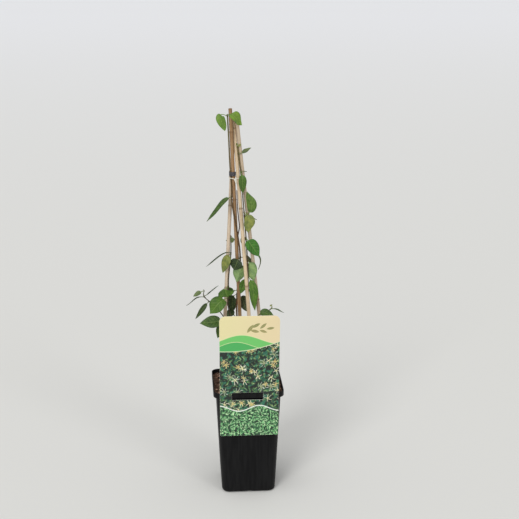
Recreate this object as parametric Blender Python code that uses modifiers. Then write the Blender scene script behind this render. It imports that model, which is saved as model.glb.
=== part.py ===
"""Honeysuckle vine twining up four bamboo canes in a square nursery pot with a picture label.

Run with: blender --background --python part.py
Lengths are in millimetres in the tables and helper functions, and become metres in the meshes.
The origin is the middle of the pot's underside, +Z is up and the label is on the -Y side.
"""
import math

import bmesh
import bpy
from mathutils import Vector

MM = 0.001
OBJECT_NAME = "honeysuckle_vine"

# Fit between neighbours that touch
GAP = 0.3

# Pot
POT_HEIGHT = 175.0
RIM_HALF = 55.0
RIM_RADIUS = 12.0
LIP_HEIGHT = 9.0
LIP_STEP = 4.5
BASE_HALF = 42.5
BASE_RADIUS = 13.0
BASE_ROUND = 5.0
BASE_STEPS = 3
BODY_RADIUS = 12.0
WALL = 1.3
FLOOR = 4.0
FLOOR_INSET = 2.5
EDGE = 0.6
ARCH_WIDTH = 16.0
ARCH_HEIGHT = 2.5
ARCH_DEPTH = 16.0
ARCH_SIDES = 32
DRAIN_RADIUS = 4.0
DRAIN_OFFSET = 24.0
DRAIN_SIDES = 16
CORNER_STEPS = 5

# Soil, and how far above it the bores for canes and stems run on
SOIL_TOP = 169.0
CANE_BORE_RISE = 60.0
STEM_BORE_RISE = 30.0

# Label card with the tongue that hooks over the rim
CARD_WIDTH = 93.0
CARD_SHIFT = 1.2
CARD_THICKNESS = 0.8
CARD_BOTTOM = 104.5
CARD_TOP = 300.5
CARD_CORNER = 9.0
CARD_FOOT_CORNER = 3.0
CARD_TAPER = 2.4
CARD_CORNER_STEPS = 4
WINDOW_LEFT = -27.0
WINDOW_RIGHT = 22.0
WINDOW_BOTTOM = 164.0
WINDOW_TOP = 176.0
CARD_PLANE = -(RIM_HALF + GAP + CARD_THICKNESS / 2)
TONGUE_THICKNESS = 0.78
TONGUE_SLOT_REACH = 5.0
TONGUE_ROUTE = [(CARD_PLANE, 179.5), (CARD_PLANE + 0.4, 176.6), (-52.4, 175.9), (-48.2, 169.0),
                (-48.1, 163.5), (-46.8, 140.0)]

# Canes: a smooth line through points (x, y, z), foot first
CANE_RADIUS = 2.9
CANE_STEP = 35.0
CANES = {
    "left": [(-34.5, 0.5, 4.6), (-39.0, 1.6, 80), (-40.4, 3.0, 160), (-33.6, 4.4, 290),
             (-22.6, 6.8, 500), (-18.0, 8.0, 593)],
    "back": [(1.4, 33.4, 4.6), (-5.2, 22.7, 160), (-10.7, 13.8, 290), (-19.6, -0.6, 500),
             (-24.2, -8.1, 609)],
    "front": [(22.2, -34.9, 4.6), (11.4, -25.3, 160), (2.3, -17.2, 290), (-12.3, -4.2, 500),
              (-18.9, 1.6, 590)],
    "right": [(33.0, -3.6, 4.6), (35.0, -3.0, 80), (32.0, -2.2, 160), (18.8, -1.3, 290),
              (-4.3, -0.6, 500), (-14.0, -2.4, 589)],
}

# Stems: points in the open as (x, y, z), and turns round a cane as
# (cane, low height, high height, low angle, high angle), where angle 0 is +X and 90 is +Y
STEM_CLEAR = 0.5
STEMS = {
    "main": {"radius": (1.4, 1.05), "route": [
        (-2, 4, 148), (-3, 7, 170), (-5, 11, 195), (-8.6, 13.8, 216), ("back", 236, 390, 262, -20),
        ("back", 400, 470, -40, -155), (-22.9, -2.4, 490), (-24.0, -2.2, 507), (-25.2, -2.1, 530),
        (-26.4, -3.3, 558), (-27.4, -4.8, 580), (-28.4, -5.6, 601)]},
    "branch": {"radius": (0.9, 0.7), "route": [
        (-12.5, -0.6, 414), (-11.0, -1.2, 427), (-12.1, -1.2, 440), (-13.6, -0.7, 455),
        (-14.2, -1.5, 470), (-14.9, -2.3, 485)]},
    "left": {"radius": (1.1, 0.8), "route": [
        (-10, 0, 150), (-12, -1, 185), (-18, -1.5, 235), (-23.5, -1.2, 272),
        ("left", 300, 345, -30, -55), ("left", 360, 412, -40, 45)]},
    "front": {"radius": (1.3, 0.8), "route": [
        (4, -2, 150), (4.4, -6, 175), (3.6, -12, 210), ("front", 245, 400, 135, 5),
        ("front", 420, 505, 0, -10), ("front", 520, 553, -35, -58)]},
    "shoot_left": {"radius": (0.9, 0.6), "route": [
        (-24.3, -3.0, 266), (-30, -6.4, 272), (-38, -9, 287), (-48, -10.4, 300), (-60, -11, 312),
        (-67.5, -12, 321), (-66.6, -12.4, 330)]},
    "shoot_right": {"radius": (0.9, 0.6), "route": [
        (4.0, -13.3, 262), (7.4, -11.4, 272), (13.0, -11.0, 282), (21.0, -11.4, 289),
        (31.5, -12.2, 293), (39.0, -12.6, 299.5)]},
}
STEM_STEP = 9.0
TURN_ANGLE = 25.0
TURN_RISE = 25.0

# Twist tie: a loop of wire from one angle to another, and tails given from the knot in front
TIE_HEIGHT = 503.5
TIE_RADIUS = 0.7
TIE_CLEAR = 0.4
TIE_ANGLES = (-87, 237, 18)
TIE_KNOT = 0.6
TIE_TAIL_START = [(0.2, -2.4, -8.0), (0.8, -1.0, -3.0)]
TIE_TAIL_END = [(-1.2, -1.0, -3.0), (-2.4, -2.6, -7.0)]

# Band round the left and back canes
BAND_LOW = 505.6
BAND_HIGH = 513.2
BAND_THICKNESS = 0.8
BAND_ANGLES = (0, 345, 15)

# Leaves: name, stem, height on the stem, reach from stalk to tip, bow of the midrib, width,
# the direction that the upper face looks, and on one leaf the reach of its curled tip.
# A stalk is at most STALK_LENGTH long and at most STALK_SHARE of its leaf.
LEAF_THICKNESS = 0.7
LEAF_CLEAR = 0.55
LEAF_ROWS = 7
CURL_ROWS = 3
LEAF_FOLD = 14.0
BLADE_POWER = 0.6
STALK_LENGTH = 5.0
STALK_SHARE = 0.35
STALK_HALF = 0.6
TIP_HALF = 0.35
LEAVES = [
    ("top_left", "main", 598, (-4, -5, -22), (-9, -1, 8), 14, (-0.3, -1, 0.4)),
    ("top_right", "main", 599, (21, -8, -14), (0, -12, 7), 19, (0.3, -0.8, 0.6)),
    ("tip_right", "front", 551, (5, -2, 5), (0, -1, 0), 3.5, (0, -1, 0.6)),
    ("tip_left", "front", 552, (-2, -5, 6), (0, -1, 0), 3.5, (0, -1, 0.6)),
    ("upper_right", "front", 541, (19, -2, 9), (0, -1, -1), 8, (-0.3, -0.6, 0.7)),
    ("tie_front", "front", 514, (3, -4, -33), (1, -6, 1), 13, (0.2, -1, 0.1)),
    ("tie_back", "front", 512, (9, -3, 2), (0, -2, 2), 4, (0, 0.1, 1)),
    ("mid_raised", "front", 446, (4, -3, 38), (9, -3, 0), 18, (0.5, -0.9, 0.2)),
    ("mid_back", "front", 444, (19, 0, -5), (0, 0, 3), 8, (0.2, 0, 1)),
    ("mid_hanging", "front", 451, (6, -6, -31), (4, -4, 2), 19, (0.4, -1, 0.2)),
    ("long_left", "main", 474, (-38, -1, -38), (1, -2, 5), 11, (-0.6, -0.6, 0.7)),
    ("small_dark", "left", 409, (2, -3, -9), (1, -4, 3), 7, (0, -1, 0.3)),
    ("small_back", "left", 402, (-4, 15, -4), (0, 0, 3), 10, (-0.3, 0.3, 0.9)),
    ("bright_right", "front", 411, (19.5, -6, -28), (-1, -3, 2), 22, (0.3, -0.9, 0.5), (-1.5, -2, -20)),
    ("bright_back", "front", 411, (-6, 18, -13), (0, 0, 3), 9, (0, 0.5, 0.8)),
    ("arc_left", "left", 384, (-38.5, -4, -20), (0, -11, 8), 9, (-0.3, 0.25, 0.9)),
    ("olive_left", "left", 382, (-13, -7, -28), (-1, -5, 5), 14, (-0.2, -1, 0.1)),
    ("blue_left", "main", 376, (-10, -7, -18), (-1, -7, 3), 21, (-0.1, -0.9, 0.4)),
    ("blue_right", "main", 375, (19, 2, -9), (0, 2, 2), 11, (0.1, -0.7, 0.7)),
    ("pale_left", "front", 369, (-17, 7, -30), (-4, 6, 1), 21, (0.2, 1, 0.2)),
    ("pale_right", "front", 375, (9.5, 1, -33), (1, 1, 2), 19, (0, 1, 0.2)),
    ("green_right", "front", 350, (10.5, 0, -56), (3.2, -3, 1), 15, (0.3, -1, 0)),
    ("green_left", "front", 349, (-11, 4, -28), (-1, 0, 1), 13, (0, -1, 0.3)),
    ("low_dark_left", "main", 313, (-8, 3, -30), (-4, 2, 3), 18, (0, -1, 0.4)),
    ("low_dark_right", "main", 310, (15, 3, -26), (3, 7, 2), 17, (0, -1, 0.3)),
    ("behind_cane", "main", 320, (-30, 1, -5), (0, 1, 0), 14, (-0.1, -0.8, 0.5)),
    ("behind_cane_back", "main", 323, (20, 13, -10), (0, 2, 3), 14, (0.2, 0.4, 0.9)),
    ("broad_left", "left", 312, (-29, -22, -18), (-4, -12, 5), 25, (-0.2, -0.9, 0.5)),
    ("broad_right", "left", 331, (-2, -1, -17), (-3.5, -2.5, 1), 29, (0.2, -1, 0.2)),
    ("shoot_dark", "shoot_left", 311, (-22, -2, -27.5), (0, -1, 2), 8, (0.5, -0.3, 0.7)),
    ("shoot_arc", "shoot_left", 318, (-29.5, -2, -12), (-2, 0, 4), 7, (-0.3, 0.2, 0.9)),
    ("shoot_grey", "shoot_left", 329, (-17, -3, -8), (0, -1, 1), 8, (0, -0.7, 0.7)),
    ("shoot_thin", "shoot_left", 320, (22, -1, 17), (0, 0, -1), 8, (-0.6, 0.2, 0.7)),
    ("shoot_low", "shoot_left", 281, (-39, -4, -5), (0, -3, -1), 21, (-0.1, -0.8, 0.6)),
    ("shoot_hanging", "shoot_left", 280, (-12, 4, -32), (-2, 1, 0), 13, (0, -1, 0.2)),
    ("right_dome", "shoot_right", 283, (28, -5, 4), (1, -4, 8), 14, (0, -0.75, 0.65)),
    ("right_thin", "shoot_right", 297, (21, -4, -5), (0, -1, 2.5), 6, (0.1, 0, 1)),
    ("right_tip", "shoot_right", 299, (-2, 1, 5), (0, 0, 1), 5, (0, -1, 0.3)),
    ("right_dark", "shoot_right", 289, (18, 6, -42), (12, 3, -6), 13, (0.5, -0.8, 0.2)),
    ("hidden_left", "main", 274, (-20, 16, 2), (0, 0, 5), 16, (-0.3, -0.7, 0.6)),
    ("hidden_right", "main", 258, (17, -15, -15), (0, -2, 5), 17, (0.3, -0.2, 0.9)),
    ("low_right", "front", 250, (28, -6, -16), (0, 4, 6), 17, (0.4, -0.2, 0.9)),
    ("low_left", "left", 250, (-22, -16, -20), (0, -2, 6), 17, (-0.3, -0.5, 0.8)),
]

# Finish of each kind of piece: colour, roughness, metallic
FINISHES = {
    "pot_plastic": ((0.012, 0.012, 0.013), 0.38, 0.0),
    "potting_soil": ((0.060, 0.030, 0.018), 0.95, 0.0),
    "label_card": ((0.700, 0.640, 0.340), 0.30, 0.0),
    "bamboo": ((0.620, 0.450, 0.250), 0.55, 0.0),
    "bamboo_brown": ((0.360, 0.200, 0.080), 0.60, 0.0),
    "tie_wire": ((0.800, 0.780, 0.680), 0.35, 0.0),
    "band_rubber": ((0.045, 0.043, 0.048), 0.60, 0.0),
    "stem_bark": ((0.110, 0.075, 0.030), 0.65, 0.0),
    "leaf_green": ((0.080, 0.190, 0.035), 0.45, 0.0),
}


def clear_scene():
    for item in list(bpy.data.objects):
        bpy.data.objects.remove(item, do_unlink=True)


def new_collection(name):
    group = bpy.data.collections.new(name)
    bpy.context.scene.collection.children.link(group)
    return group


def material(name):
    """Principled material of one of the finishes."""
    found = bpy.data.materials.get(name)
    if found:
        return found
    colour, roughness, metallic = FINISHES[name]
    made = bpy.data.materials.new(name)
    made.use_nodes = True
    shader = made.node_tree.nodes["Principled BSDF"]
    shader.inputs["Base Color"].default_value = (*colour, 1.0)
    shader.inputs["Roughness"].default_value = roughness
    shader.inputs["Metallic"].default_value = metallic
    made.diffuse_color = (*colour, 1.0)
    return made


def add_piece(name, data, finish, group):
    """New object of the model with its own material."""
    piece = bpy.data.objects.new(name, data)
    group.objects.link(piece)
    data.materials.append(material(finish))
    return piece


def add_cutter(name, data, group):
    """New helper object that cuts or joins another and isn't part of the model."""
    cutter = bpy.data.objects.new(name, data)
    group.objects.link(cutter)
    cutter.hide_render = True
    cutter.display_type = "WIRE"
    return cutter


def mesh_from(bm, name):
    bmesh.ops.recalc_face_normals(bm, faces=bm.faces)
    data = bpy.data.meshes.new(name)
    bm.to_mesh(data)
    bm.free()
    return data


def boolean(piece, cutter, operation):
    modifier = piece.modifiers.new(cutter.name, "BOOLEAN")
    modifier.operation = operation
    modifier.solver = "EXACT"
    modifier.object = cutter


def smooth(data, angle=40):
    data.shade_smooth()
    data.set_sharp_from_angle(angle=math.radians(angle))


def rounded_square(half, radius, height):
    """Points round a square with rounded corners, anticlockwise from the +X side."""
    points = []
    for corner in range(4):
        turn = math.radians(90 * corner)
        middle = Vector((half - radius, half - radius, 0))
        for step in range(CORNER_STEPS + 1):
            angle = math.radians(90 * step / CORNER_STEPS)
            point = middle + Vector((radius * math.cos(angle), radius * math.sin(angle), 0))
            x = point.x * math.cos(turn) - point.y * math.sin(turn)
            y = point.x * math.sin(turn) + point.y * math.cos(turn)
            points.append(Vector((x, y, height)))
    return points


def loft(name, rings):
    """Closed solid through rings of equal length, with a cap on the first and the last."""
    bm = bmesh.new()
    loops = [[bm.verts.new(point * MM) for point in ring] for ring in rings]
    count = len(loops[0])
    for low, high in zip(loops, loops[1:]):
        for index in range(count):
            following = (index + 1) % count
            bm.faces.new((low[index], low[following], high[following], high[index]))
    bm.faces.new(list(reversed(loops[0])))
    bm.faces.new(loops[-1])
    return mesh_from(bm, name)


def spline_point(points, position):
    """Point of the smooth curve through the points, position counted in whole points."""
    last = len(points) - 1
    index = min(int(position), last - 1)
    share = position - index
    p1, p2 = points[index], points[index + 1]
    p0 = points[index - 1] if index > 0 else p1 * 2 - p2
    p3 = points[index + 2] if index + 2 <= last else p2 * 2 - p1
    span = (p2 - p1).length
    slope1 = (p2 - p0) * (span / ((p1 - p0).length + span))
    slope2 = (p3 - p1) * (span / ((p3 - p2).length + span))
    square, cube = share * share, share ** 3
    return (p1 * (2 * cube - 3 * square + 1) + slope1 * (cube - 2 * square + share)
            + p2 * (3 * square - 2 * cube) + slope2 * (cube - square))


def smooth_route(points, step):
    """Points about one step apart along the smooth curve through the given points."""
    result = [points[0].copy()]
    for index in range(len(points) - 1):
        parts = max(1, round((points[index + 1] - points[index]).length / step))
        for part in range(1, parts + 1):
            result.append(spline_point(points, index + part / parts))
    return result


def point_at_height(route, height):
    """Point and direction of a rising route at a height."""
    for low, high in zip(route, route[1:]):
        if low.z <= height <= high.z:
            share = (height - low.z) / (high.z - low.z)
            return low.lerp(high, share), (high - low).normalized()
    raise ValueError(f"no point at height {height}")


def cane_routes():
    return {name: smooth_route([Vector(point) for point in points], CANE_STEP)
            for name, points in CANES.items()}


def turns(canes, cane, low, high, low_angle, high_angle, radius):
    """Points of a stem that climbs round a cane from one height and angle to another."""
    count = max(2, math.ceil(abs(high_angle - low_angle) / TURN_ANGLE),
                math.ceil((high - low) / TURN_RISE))
    reach = CANE_RADIUS + STEM_CLEAR + radius
    points = []
    for index in range(count + 1):
        share = index / count
        middle, _ = point_at_height(canes[cane], low + (high - low) * share)
        angle = math.radians(low_angle + (high_angle - low_angle) * share)
        points.append(middle + Vector((math.cos(angle), math.sin(angle), 0)) * reach)
    return points


def stem_route(canes, stem):
    radius = max(stem["radius"])
    points = []
    for entry in stem["route"]:
        if isinstance(entry[0], str):
            points += turns(canes, *entry, radius)
        else:
            points.append(Vector(entry))
    return smooth_route(points, STEM_STEP)


def stem_radius(stem, share):
    low, high = stem["radius"]
    return low + (high - low) * share


def tube(name, route, radii, ring_resolution=2):
    """Curve with a round section through the route, its radius given point by point."""
    curve = bpy.data.curves.new(name, "CURVE")
    curve.dimensions = "3D"
    curve.bevel_depth = MM
    curve.bevel_resolution = ring_resolution
    curve.use_fill_caps = True
    spline = curve.splines.new("POLY")
    spline.points.add(len(route) - 1)
    for point, place, radius in zip(spline.points, route, radii):
        point.co = (*(place * MM), 1.0)
        point.radius = radius
    return curve


def mesh_of_curve(name, curve):
    """Mesh with welded caps made from a curve."""
    holder = bpy.data.objects.new(name, curve)
    bpy.context.scene.collection.objects.link(holder)
    evaluated = holder.evaluated_get(bpy.context.evaluated_depsgraph_get())
    data = bpy.data.meshes.new_from_object(evaluated)
    bpy.data.objects.remove(holder, do_unlink=True)
    bm = bmesh.new()
    bm.from_mesh(data)
    bmesh.ops.remove_doubles(bm, verts=bm.verts, dist=1e-6)
    bm.to_mesh(data)
    bm.free()
    return data


def inner_half(height):
    """Half width between the pot's body walls at a height."""
    body_top = POT_HEIGHT - LIP_HEIGHT
    top_half = RIM_HALF - LIP_STEP
    return BASE_HALF + (top_half - BASE_HALF) * height / body_top - WALL


def make_pot(group, cutters):
    body_top = POT_HEIGHT - LIP_HEIGHT
    step_top = body_top + WALL
    body_half = RIM_HALF - LIP_STEP
    inner_radius = BASE_RADIUS - WALL
    rings = []
    for step in range(BASE_STEPS + 1):
        angle = math.radians(90 * step / BASE_STEPS)
        inset = BASE_ROUND * (1 - math.sin(angle))
        rings.append(rounded_square(BASE_HALF - inset, BASE_RADIUS - inset,
                                    BASE_ROUND * (1 - math.cos(angle))))
    rings += [
        rounded_square(body_half, BODY_RADIUS, body_top),
        rounded_square(RIM_HALF, RIM_RADIUS, body_top),
        rounded_square(RIM_HALF, RIM_RADIUS, POT_HEIGHT - EDGE),
        rounded_square(RIM_HALF - EDGE, RIM_RADIUS - EDGE, POT_HEIGHT),
        rounded_square(RIM_HALF - WALL, RIM_RADIUS - WALL, POT_HEIGHT),
        rounded_square(RIM_HALF - WALL, RIM_RADIUS - WALL, step_top),
        rounded_square(inner_half(step_top), inner_radius, step_top),
        rounded_square(inner_half(FLOOR + FLOOR_INSET), inner_radius, FLOOR + FLOOR_INSET),
        rounded_square(inner_half(FLOOR) - FLOOR_INSET, inner_radius - FLOOR_INSET, FLOOR),
    ]
    pot = add_piece("pot", loft("pot", rings), "pot_plastic", group)
    arch_radius = (ARCH_WIDTH ** 2 / 4 + ARCH_HEIGHT ** 2) / (2 * ARCH_HEIGHT)
    for side in range(4):
        angle = math.radians(90 * side)
        outward = Vector((math.cos(angle), math.sin(angle), 0))
        arch = add_cutter(f"arch_{side}", round_bar(arch_radius, ARCH_DEPTH, ARCH_SIDES), cutters)
        arch.location = (outward * (BASE_HALF + 1 - ARCH_DEPTH / 2)
                         + Vector((0, 0, ARCH_HEIGHT - arch_radius))) * MM
        arch.rotation_euler = (0, math.radians(90), angle)
        boolean(pot, arch, "DIFFERENCE")
        drain = add_cutter(f"drain_{side}", round_bar(DRAIN_RADIUS, FLOOR * 3, DRAIN_SIDES), cutters)
        drain.location = outward * DRAIN_OFFSET * MM + Vector((0, 0, FLOOR / 2)) * MM
        boolean(pot, drain, "DIFFERENCE")
    smooth(pot.data)


def round_bar(radius, length, sides):
    """Cylinder along Z about the origin."""
    bm = bmesh.new()
    bmesh.ops.create_cone(bm, cap_ends=True, segments=sides, radius1=radius * MM,
                          radius2=radius * MM, depth=length * MM)
    return mesh_from(bm, "round_bar")


def make_soil(group, cutters, canes, stems):
    step_top = POT_HEIGHT - LIP_HEIGHT + WALL
    corner = BASE_RADIUS - WALL
    rim_half = RIM_HALF - WALL - GAP
    rings = [
        rounded_square(inner_half(FLOOR) - FLOOR_INSET - GAP, corner - FLOOR_INSET, FLOOR + GAP),
        rounded_square(inner_half(FLOOR + FLOOR_INSET) - GAP, corner, FLOOR + FLOOR_INSET + GAP),
        rounded_square(inner_half(step_top) - GAP, corner, step_top + GAP),
        rounded_square(rim_half, RIM_RADIUS - WALL, step_top + GAP),
        rounded_square(rim_half, RIM_RADIUS - WALL, SOIL_TOP),
    ]
    soil = add_piece("soil", loft("soil", rings), "potting_soil", group)
    for name, route in canes.items():
        buried = [Vector((route[0].x, route[0].y, 0))]
        buried += [point for point in route if point.z < SOIL_TOP + CANE_BORE_RISE]
        radii = [CANE_RADIUS + GAP] * len(buried)
        bore = mesh_of_curve(f"bore_{name}", tube("bore", buried, radii))
        boolean(soil, add_cutter(f"bore_{name}", bore, cutters), "DIFFERENCE")
    for name, route in stems.items():
        if route[0].z > SOIL_TOP:
            continue
        buried = [route[0] - Vector((0, 0, GAP))]
        buried += [point for point in route if point.z < SOIL_TOP + STEM_BORE_RISE]
        radii = [max(STEMS[name]["radius"]) + GAP] * len(buried)
        bore = mesh_of_curve(f"stem_bore_{name}", tube("bore", buried, radii))
        boolean(soil, add_cutter(f"stem_bore_{name}", bore, cutters), "DIFFERENCE")
    boolean(soil, tongue_slot(cutters), "DIFFERENCE")
    smooth(soil.data)


def tongue_slot(cutters):
    """Cutter that clears the soil in front of and round the label's tongue."""
    clearance = CARD_THICKNESS / 2 + GAP
    back_side = [Vector((0, y + clearance, z)) for y, z in reversed(TONGUE_ROUTE[2:])]
    back_side[0].z -= GAP
    front = -RIM_HALF - TONGUE_SLOT_REACH
    outline = [Vector((0, front, back_side[0].z))] + back_side
    outline.append(Vector((0, front, back_side[-1].z)))
    bm = bmesh.new()
    left = Vector((WINDOW_LEFT, 0, 0))
    verts = [bm.verts.new((point + left) * MM) for point in outline]
    face = bm.faces.new(verts)
    grown = bmesh.ops.extrude_face_region(bm, geom=[face])["geom"]
    moved = [item for item in grown if isinstance(item, bmesh.types.BMVert)]
    bmesh.ops.translate(bm, verts=moved, vec=((WINDOW_RIGHT - WINDOW_LEFT) * MM, 0, 0))
    return add_cutter("tongue_slot", mesh_from(bm, "tongue_slot"), cutters)


def card_outline():
    """Outline of the card with an arc at each corner, as (x, z)."""
    half = CARD_WIDTH / 2
    points = []
    for side, up, start in ((1, -1, 270), (1, 1, 0), (-1, 1, 90), (-1, -1, 180)):
        radius = CARD_CORNER if up > 0 else CARD_FOOT_CORNER
        middle_x = CARD_SHIFT + side * (half - radius)
        middle_z = CARD_TOP - radius if up > 0 else CARD_BOTTOM + radius
        if side > 0 > up:
            middle_x -= CARD_TAPER
        for step in range(CARD_CORNER_STEPS + 1):
            angle = math.radians(start + 90 * step / CARD_CORNER_STEPS)
            points.append((middle_x + radius * math.cos(angle), middle_z + radius * math.sin(angle)))
    return points


def make_label(group, cutters):
    curve = bpy.data.curves.new("label", "CURVE")
    curve.dimensions = "2D"
    curve.fill_mode = "BOTH"
    curve.extrude = CARD_THICKNESS / 2 * MM
    window = [(WINDOW_LEFT, WINDOW_BOTTOM), (WINDOW_RIGHT, WINDOW_BOTTOM),
              (WINDOW_RIGHT, WINDOW_TOP), (WINDOW_LEFT, WINDOW_TOP)]
    for outline in (card_outline(), window):
        spline = curve.splines.new("POLY")
        spline.points.add(len(outline) - 1)
        for point, (x, z) in zip(spline.points, outline):
            point.co = (x * MM, z * MM, 0, 1)
        spline.use_cyclic_u = True
    label = add_piece("label", mesh_of_curve("label", curve), "label_card", group)
    label.rotation_euler = (math.radians(90), 0, 0)
    label.location = (0, CARD_PLANE * MM, 0)
    bm = bmesh.new()
    rows = [[bm.verts.new(Vector((x, y, z)) * MM) for x in (WINDOW_LEFT + GAP, WINDOW_RIGHT - GAP)]
            for y, z in TONGUE_ROUTE]
    for low, high in zip(rows, rows[1:]):
        bm.faces.new((low[0], low[1], high[1], high[0]))
    tongue = add_cutter("tongue", mesh_from(bm, "tongue"), cutters)
    thicken(tongue, TONGUE_THICKNESS)
    boolean(label, tongue, "UNION")


def thicken(piece, thickness):
    modifier = piece.modifiers.new("thickness", "SOLIDIFY")
    modifier.thickness = thickness * MM
    modifier.offset = 0
    modifier.use_even_offset = True


def make_canes(group, canes):
    for name, route in canes.items():
        finish = "bamboo_brown" if name == "back" else "bamboo"
        curve = tube(f"cane_{name}", route, [CANE_RADIUS] * len(route))
        add_piece(f"cane_{name}", curve, finish, group)


def make_stems(group, stems):
    for name, route in stems.items():
        last = len(route) - 1
        radii = [stem_radius(STEMS[name], index / last) for index in range(last + 1)]
        node_name = name if name.startswith("shoot") else f"stem_{name}"
        add_piece(node_name, tube(node_name, route, radii), "stem_bark", group)


def wrap(discs, clearance, first, last, step, height):
    """Points round the outside of several discs (x, y, radius), between two angles."""
    points = []
    count = round((last - first) / step)
    for index in range(count + 1):
        angle = math.radians(first + (last - first) * index / count)
        normal = Vector((math.cos(angle), math.sin(angle)))
        x, y, radius = max(discs, key=lambda disc: disc[0] * normal.x + disc[1] * normal.y + disc[2])
        edge = Vector((x, y)) + normal * (radius + clearance)
        points.append(Vector((edge.x, edge.y, height)))
    return points


def discs_at(height, canes, stems, cane_names, stem_names):
    """Sections of the named canes and stems at a height."""
    discs = []
    for name in cane_names:
        middle, _ = point_at_height(canes[name], height)
        discs.append((middle.x, middle.y, CANE_RADIUS))
    for name in stem_names:
        middle, _ = point_at_height(stems[name], height)
        discs.append((middle.x, middle.y, max(STEMS[name]["radius"])))
    return discs


def make_tie(group, canes, stems):
    """Wire loop round everything, with its two ends side by side in front."""
    discs = discs_at(TIE_HEIGHT, canes, stems, CANES, ("main", "front"))
    loop = wrap(discs, TIE_CLEAR + TIE_RADIUS, *TIE_ANGLES, TIE_HEIGHT)
    start, end = loop[0], loop[-1]
    knot = Vector(((start.x + end.x) / 2, min(start.y, end.y) - TIE_KNOT, TIE_HEIGHT))
    first_tail = [knot + Vector(offset) for offset in TIE_TAIL_START]
    last_tail = [knot + Vector(offset) for offset in TIE_TAIL_END]
    route = first_tail + loop + last_tail
    add_piece("twist_tie", tube("twist_tie", route, [TIE_RADIUS] * len(route), 1), "tie_wire", group)


def make_band(group, canes, stems):
    """Strip wound once round the left and back canes and the main stem."""
    low = discs_at(BAND_LOW, canes, stems, ("left", "back"), ("main",))
    high = discs_at(BAND_HIGH, canes, stems, ("left", "back"), ("main",))
    rings = []
    for height, thickness in ((BAND_LOW, 0), (BAND_HIGH, 0), (BAND_HIGH, BAND_THICKNESS),
                              (BAND_LOW, BAND_THICKNESS)):
        rings.append(wrap(low + high, GAP + thickness, *BAND_ANGLES, height))
    bm = bmesh.new()
    loops = [[bm.verts.new(point * MM) for point in ring] for ring in rings]
    count = len(loops[0])
    for low, high in zip(loops, loops[1:] + loops[:1]):
        for index in range(count):
            following = (index + 1) % count
            bm.faces.new((low[index], low[following], high[following], high[index]))
    band = add_piece("grey_band", mesh_from(bm, "grey_band"), "band_rubber", group)
    smooth(band.data)


def blade_half(share, width):
    """Half width of an ovate blade, share 0 at its base and 1 at its tip."""
    if share >= 1:
        return TIP_HALF
    broadest = BLADE_POWER / (1 + BLADE_POWER)
    peak = broadest ** BLADE_POWER * (1 - broadest)
    return max(TIP_HALF, width / 2 * share ** BLADE_POWER * (1 - share) / peak)


def droop(share):
    """Weight of the midrib's bow, which is 1 a third of the way along, and its slope."""
    return 6.75 * share * (1 - share) ** 2, 6.75 * (1 - share) * (1 - 3 * share)


def midrib(base, reach, bow, curl, along):
    """Point and direction of the midrib, along counted 0 to 1 on the blade and 1 to 2 on a curl."""
    if along <= 1:
        weight, slope = droop(along)
        return base + reach * along + bow * weight, (reach + bow * slope).normalized()
    past = along - 1
    bend = reach.normalized() * (curl.length * 0.4)
    point = base + reach + bend * (2 * past * (1 - past)) + curl * past ** 2
    return point, (bend * (2 - 4 * past) + curl * (2 * past)).normalized()


def leaf_surface(name, base, reach, bow, width, face, curl):
    """Open grid bent along the midrib, with a narrow stalk and a shallow fold."""
    rows = LEAF_ROWS + (CURL_ROWS if curl else 0)
    stalk = min(STALK_SHARE, STALK_LENGTH / reach.length)
    fold = math.radians(LEAF_FOLD)
    bm = bmesh.new()
    bmesh.ops.create_grid(bm, x_segments=rows, y_segments=2, size=1.0)
    for vert in bm.verts:
        row, across = round((vert.co.x + 1) / 2 * rows), vert.co.y
        along = row / LEAF_ROWS if row <= LEAF_ROWS else 1 + (row - LEAF_ROWS) / CURL_ROWS
        blade = max(0.0, (along - stalk) / (1 - stalk))
        half = STALK_HALF if along < stalk else max(STALK_HALF * (1 - blade), blade_half(blade, width))
        middle, tangent = midrib(base, reach, bow, curl, along)
        side = tangent.cross(face).normalized()
        normal = side.cross(tangent).normalized()
        spread = side * (across * half * math.cos(fold)) + normal * (abs(across) * half * math.sin(fold))
        vert.co = (middle + spread) * MM
    data = bpy.data.meshes.new(name)
    bm.to_mesh(data)
    bm.free()
    return data


def make_leaves(group, stems):
    for name, stem, height, reach, bow, width, face, *extra in LEAVES:
        route = stems[stem]
        node, direction = point_at_height(route, height)
        reach, bow = Vector(reach), Vector(bow)
        curl = Vector(extra[0]) if extra else None
        outward = reach + bow * droop(0)[1]
        outward -= direction * outward.dot(direction)
        share = (height - route[0].z) / (route[-1].z - route[0].z)
        radius = stem_radius(STEMS[stem], share)
        base = node + outward.normalized() * (radius + LEAF_CLEAR)
        data = leaf_surface(f"leaf_{name}", base, reach, bow, width, Vector(face), curl)
        leaf = add_piece(f"leaf_{name}", data, "leaf_green", group)
        thicken(leaf, LEAF_THICKNESS)
        data.shade_smooth()


def main():
    clear_scene()
    group = new_collection(OBJECT_NAME)
    cutters = new_collection("cutters")
    canes = cane_routes()
    stems = {name: stem_route(canes, stem) for name, stem in STEMS.items()}
    make_pot(group, cutters)
    make_soil(group, cutters, canes, stems)
    make_label(group, cutters)
    make_canes(group, canes)
    make_tie(group, canes, stems)
    make_band(group, canes, stems)
    make_stems(group, stems)
    make_leaves(group, stems)


main()
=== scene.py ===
"""Looks of a honeysuckle vine on four bamboo canes in a square nursery pot with a picture label.

Lengths are in millimetres in the tables and the helper functions, and become metres in the meshes.
"""
import math
import random

import bmesh
import bpy
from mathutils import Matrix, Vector, noise


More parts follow.
